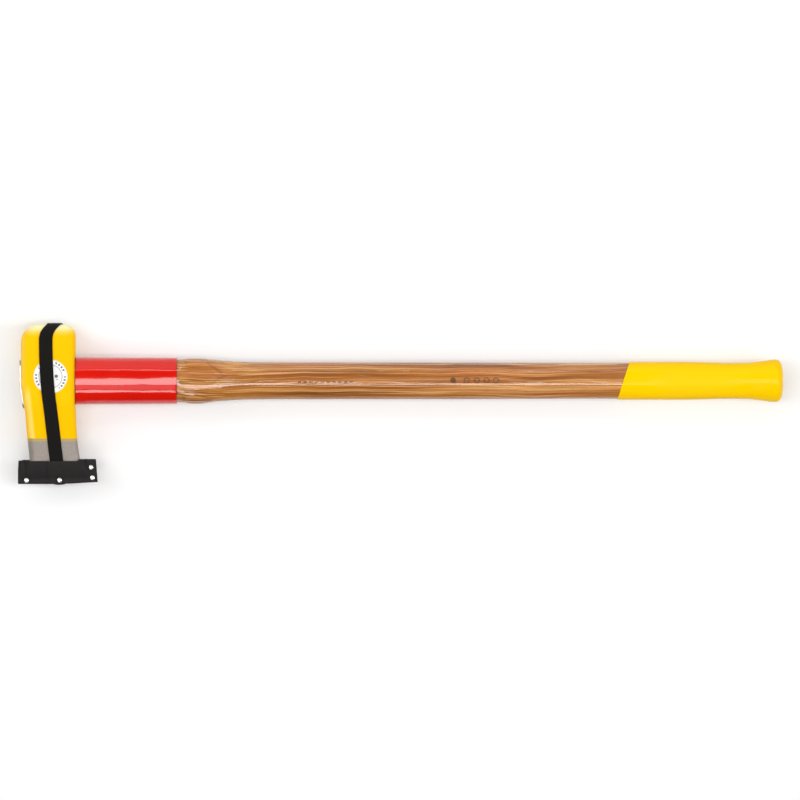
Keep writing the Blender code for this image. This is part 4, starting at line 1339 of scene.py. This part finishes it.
def guard_bottom(x):
    return GUARD_BOTTOM_Y - 0.4 * (1 - smoothstep(40.0, 60.0, x)) + 1.9 * smoothstep(52.0, 92.0, x)


def guard_inner(x, y, side):
    blade = (half_thickness(y) if y > EDGE_Y - 0.4 else 0.0) + 0.35
    lo, hi = 11.5, under_x(max(y, EDGE_Y)) + 0.6
    mask = smoothstep(lo - 10.0, lo - 0.5, x) * (1 - smoothstep(hi, hi + 4.8, x))
    fold = 0.2 + 0.62 * blade
    left = smoothstep(lo - 1.0, lo - 9.0, x)
    base = max(0.2, 0.2 + (blade - 0.2) * mask)
    base = max(base, fold * left) if y > EDGE_Y else base
    centre = strap_x_front(y) if side > 0 else strap_x_back(y)
    d = abs(x - centre)
    over = half_thickness(y) + STRAP_GAP if y > EDGE_Y - 0.5 else 0.0
    strap = max(over, 0.45) + STRAP_T * 1.12 + 0.35
    bump = 1 - smoothstep(STRAP_HALF_W + 1.6, STRAP_HALF_W + 7.0, d)
    return base + max(0.0, strap - base) * bump


def make_guard(mat):
    cols = list(np.concatenate([np.linspace(88.0, 60.0, 38), np.linspace(59.2, 4.0, 72), [3.2, GUARD_LEFT]]))
    rows = list(np.linspace(0.0, 1.0, 40))
    n = len(cols)
    grid = []
    for u in range(2 * n + FOLD_STEPS):
        line = []
        for v in rows:
            if u < n:
                side, x = 1, cols[u]
            elif u >= n + FOLD_STEPS:
                side, x = -1, cols[2 * n + FOLD_STEPS - 1 - u]
            else:
                side, x = 0, GUARD_LEFT
            if side:
                y = guard_top(x, side > 0) * (1 - v) + guard_bottom(x) * v
                right = x + (GUARD_RIGHT(y) - 88.0) * smoothstep(60.0, 88.0, x)
                line.append([right, y, side * guard_inner(x, y, side)])
            else:
                a = math.radians(90 + 180 * (u - n + 1) / (FOLD_STEPS + 1))
                top = guard_top(x, True) * 0.5 + guard_top(x, False) * 0.5
                y = top * (1 - v) + guard_bottom(x) * v
                z = guard_inner(x, y, 1)
                reach = min(z, 2.2)
                line.append([GUARD_LEFT - (2.2 - reach) + (reach + 0.4) * math.cos(a), y, z * math.sin(a)])
        grid.append(line)
    g = np.array(grid)
    # relax the sheet's height a little, so that it bends like leather; its free edges stay
    for _ in range(14):
        mid = g.copy()
        mid[1:-1, 1:-1, 2] = 0.5 * g[1:-1, 1:-1, 2] + 0.125 * (
            g[:-2, 1:-1, 2] + g[2:, 1:-1, 2] + g[1:-1, :-2, 2] + g[1:-1, 2:, 2]
        )
        # never closer to the blade than it was
        lift = np.abs(mid[..., 2]) >= np.abs(g[..., 2])
        g[..., 2] = np.where(lift, mid[..., 2], g[..., 2] * 0.6 + mid[..., 2] * 0.4)
    # the fold leans out a little towards the bottom
    depth = np.clip((-93.5 - g[..., 1]) / 14.0, 0, 1)
    near = 1 - np.clip((g[..., 0] - GUARD_LEFT) / 12.0, 0, 1)
    g[..., 0] -= (0.35 + 0.65 * depth) * near * near * (3 - 2 * near)
    # outward normals
    du = np.zeros_like(g)
    dv = np.zeros_like(g)
    du[1:-1] = g[2:] - g[:-2]
    du[0], du[-1] = g[1] - g[0], g[-1] - g[-2]
    dv[:, 1:-1] = g[:, 2:] - g[:, :-2]
    dv[:, 0], dv[:, -1] = g[:, 1] - g[:, 0], g[:, -1] - g[:, -2]
    nr = np.cross(du, dv)
    nr /= np.linalg.norm(nr, axis=2)[..., None]
    # keep the outer face in the sheet's own rows
    nr[..., 1] *= 0.25
    nr /= np.linalg.norm(nr, axis=2)[..., None]
    if nr[10, 10, 2] < 0:
        nr = -nr
    nu, nv = g.shape[:2]
    outer = np.zeros_like(g)
    for i in range(nu):
        for j in range(nv):
            t = PLY_T
            x, y, z = g[i, j]
            # the rivets pull the leather in round their heads
            for k, (rx, ry) in enumerate(RIVETS):
                d = math.hypot(x - rx, y - ry)
                if d < 7.0 and (k or x > GUARD_LEFT):
                    t -= 0.42 * (1 - smoothstep(2.6, 6.5, d))
            # slow unevenness of the hide
            t += 0.10 * noise.noise(Vector((x * 0.09, y * 0.12, z * 0.1))) - 0.08
            # thinner at the cut edges
            e = min(j, nv - 1 - j, i, nu - 1 - i)
            t *= (0.80, 0.93, 0.985)[e] if e < 3 else 1.0
            outer[i, j] = g[i, j] + nr[i, j] * t
    # cut edges are rounded by the bevel further down
    verts = [tuple(p) for p in g.reshape(-1, 3)] + [tuple(p) for p in outer.reshape(-1, 3)]
    s = nu * nv
    faces = []
    for i in range(nu - 1):
        for j in range(nv - 1):
            a = i * nv + j
            faces.append((a, a + 1, a + nv + 1, a + nv))
            faces.append((s + a, s + a + nv, s + a + nv + 1, s + a + 1))
        for j in (0, nv - 1):
            a = i * nv + j
            faces.append((a, a + nv, s + a + nv, s + a))
    for i in (0, nu - 1):
        for j in range(nv - 1):
            a = i * nv + j
            faces.append((a, a + 1, s + a + 1, s + a))
    guard = mesh_piece("leather_edge_guard", verts, faces, mat, 60)
    holes = []
    for x, y in RIVETS:
        holes.append(turned_piece("cut_rivet", [(0, 16), (1.7, 16), (1.7, -16), (0, -16)], (x, y, 0), None, "Z", 32))
    cut_with(guard, holes)
    bevel(guard, 0.22, 2, 55)
    return finish_shading(guard, 50)


def make_rivets(mat):
    made = []
    for k, (x, y) in enumerate(RIVETS, 1):
        lo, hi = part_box(f"rivet_{k}_cap")
        zf = (hi.z - ORIGIN.z) / MM - 1.25
        blo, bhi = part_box(f"rivet_{k}_post")
        zb = -((blo.z - ORIGIN.z) / MM) - 0.95
        r = 3.0
        # a tubular rivet's middle is a deep narrow cup; the others are closed under the dome
        floor = zf - 0.35
        if k == 1:
            deep = min(2.0, zf + zb - 1.5)
            floor = zf - deep - 0.35
            cap = [(0.0, zf - deep), (0.95, zf - 0.2), (1.0, zf + 0.92), (1.25, zf + 1.08), (1.6, zf + 1.13)]
        else:
            cap = [(0.0, zf + 1.25), (0.4, zf + 1.24), (0.9, zf + 1.19), (1.5, zf + 1.10)]
        cap += [(2.0, zf + 0.98), (2.45, zf + 0.76), (2.8, zf + 0.48), (2.97, zf + 0.20), (2.98, zf + 0.02), (2.85, zf - 0.12)]
        cap += [(1.5, zf - 0.12), (1.45, zf - 0.3), (1.45, 0.9 - zb), (1.05, 0.9 - zb), (1.05, floor), (0.0, floor)]
        o = turned_piece(f"rivet_cap_{k}", cap, (x, y, 0), mat, "Z", 48, 40)
        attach(o, "guard")
        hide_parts(f"rivet_{k}_cap")
        post = [(0.0, floor - 0.25), (0.60, floor - 0.25), (0.72, floor - 0.45), (0.72, -zb + 0.1), (2.85, -zb + 0.1), (2.98, -zb - 0.05)]
        post += [(2.97, -zb - 0.25), (2.7, -zb - 0.5), (2.2, -zb - 0.72), (1.4, -zb - 0.88), (0.6, -zb - 0.94), (0.0, -zb - 0.95)]
        p = turned_piece(f"rivet_post_{k}", post, (x, y, 0), mat, "Z", 48, 40)
        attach(p, "guard")
        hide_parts(f"rivet_{k}_post")
        made += [o, p]
    return made


# ------------------------------------------------------------------ build the pieces


def seat(o, body, node):
    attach(o, body)
    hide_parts(node)


seat(make_head(head_material()), "maul", "maul_head")
seat(make_handle(handle_material(), end_wood_material()), "maul", "handle")
seat(make_coat(dip_material()), "maul", "grip_coating")
seat(make_sleeve(red_material()), "maul", "protective_sleeve")
seat(make_plate(plate_material()), "maul", "safety_plate")
seat(make_screw(screw_material()), "maul", "plate_screw")
seat(make_label(label_material()), "maul", "cheek_label")
seat(make_guard(leather_material()), "guard", "edge_guard")
make_rivets(nickel_material())

strap = make_strap(webbing_material())
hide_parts("elastic_strap")
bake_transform(strap)

wedge = frame["nodes"]["eye_wedge"]
wood = wedge_material()
for s in wedge.material_slots:
    s.material = wood

# ------------------------------------------------------------------ stage, light, camera

me = bpy.data.meshes.new("floor")
me.from_pydata([(-6, -6, 0), (6, -6, 0), (6, 6, 0), (-6, 6, 0)], [], [(0, 1, 2, 3)])
floor = bpy.data.objects.new("floor", me)
scene.collection.objects.link(floor)
me.materials.append(floor_material())
floor.location.z = -0.0002


def strip(name, angle, reach, width, power, length=3.2, x=0.0):
    """A long soft light along X, angle degrees from straight up towards -Y."""
    l = bpy.data.lights.new(name, "AREA")
    l.shape = "RECTANGLE"
    l.size, l.size_y = length, width
    l.energy = power
    o = bpy.data.objects.new(name, l)
    a = math.radians(angle)
    o.location = (x, -math.sin(a) * reach, math.cos(a) * reach)
    o.rotation_euler = (a, 0, 0)
    scene.collection.objects.link(o)
    return o




def power(radiance, width, length=3.2):
    return radiance * math.pi * width * length


strip("panel_over", 1.0, 2.2, 0.56, power(5.8, 0.56))
strip("panel_dim", 17.5, 2.2, 0.56, power(1.25, 0.56, 1.2), 1.2, -0.82)
strip("strip_poll_side", -33.5, 2.2, 0.09, power(5.0, 0.09))
strip("strip_edge_side", 31.5, 2.2, 0.32, power(5.6, 0.32, 1.2), 1.2, -0.82)
strip("wall_poll_side", -64.0, 2.4, 2.3, power(0.72, 2.3))


def box_light(name, at, size, radiance):
    """A square soft box aimed at the object's middle."""
    l = bpy.data.lights.new(name, "AREA")
    l.shape = "SQUARE"
    l.size = size
    l.energy = radiance * math.pi * size * size
    o = bpy.data.objects.new(name, l)
    o.location = at
    o.rotation_euler = (Vector((0, 0, 0)) - Vector(at)).to_track_quat("-Z", "Y").to_euler()
    scene.collection.objects.link(o)
    return o


box_light("box_head_end", (-2.3, 0.75, 1.9), 1.5, 3.8)
box_light("box_knob_end", (2.3, -0.35, 1.9), 1.5, 5.2)

w = bpy.data.worlds.new("soft_room")
scene.world = w
w.use_nodes = True
w.node_tree.nodes["Background"].inputs[0].default_value = (1.0, 1.0, 1.0, 1)
w.node_tree.nodes["Background"].inputs[1].default_value = 0.06

scene.view_settings.view_transform = "Standard"
scene.view_settings.look = "None"

MM_PER_PX = 1.179
cam = bpy.data.cameras.new("camera")
cam.sensor_width = 36.0
DIST = 40.0
cam.lens = 36.0 * DIST / (800 * MM_PER_PX * MM)
cam.clip_end = 100.0
camera = bpy.data.objects.new("camera", cam)
cx, cy, _ = world(((400 - 20.1) * MM_PER_PX, (380.4 - 400) * MM_PER_PX, 0))
camera.location = (cx, cy + 0.0005, DIST + ORIGIN.z)
camera.rotation_euler = (0, 0, 0)
scene.collection.objects.link(camera)
scene.camera = camera
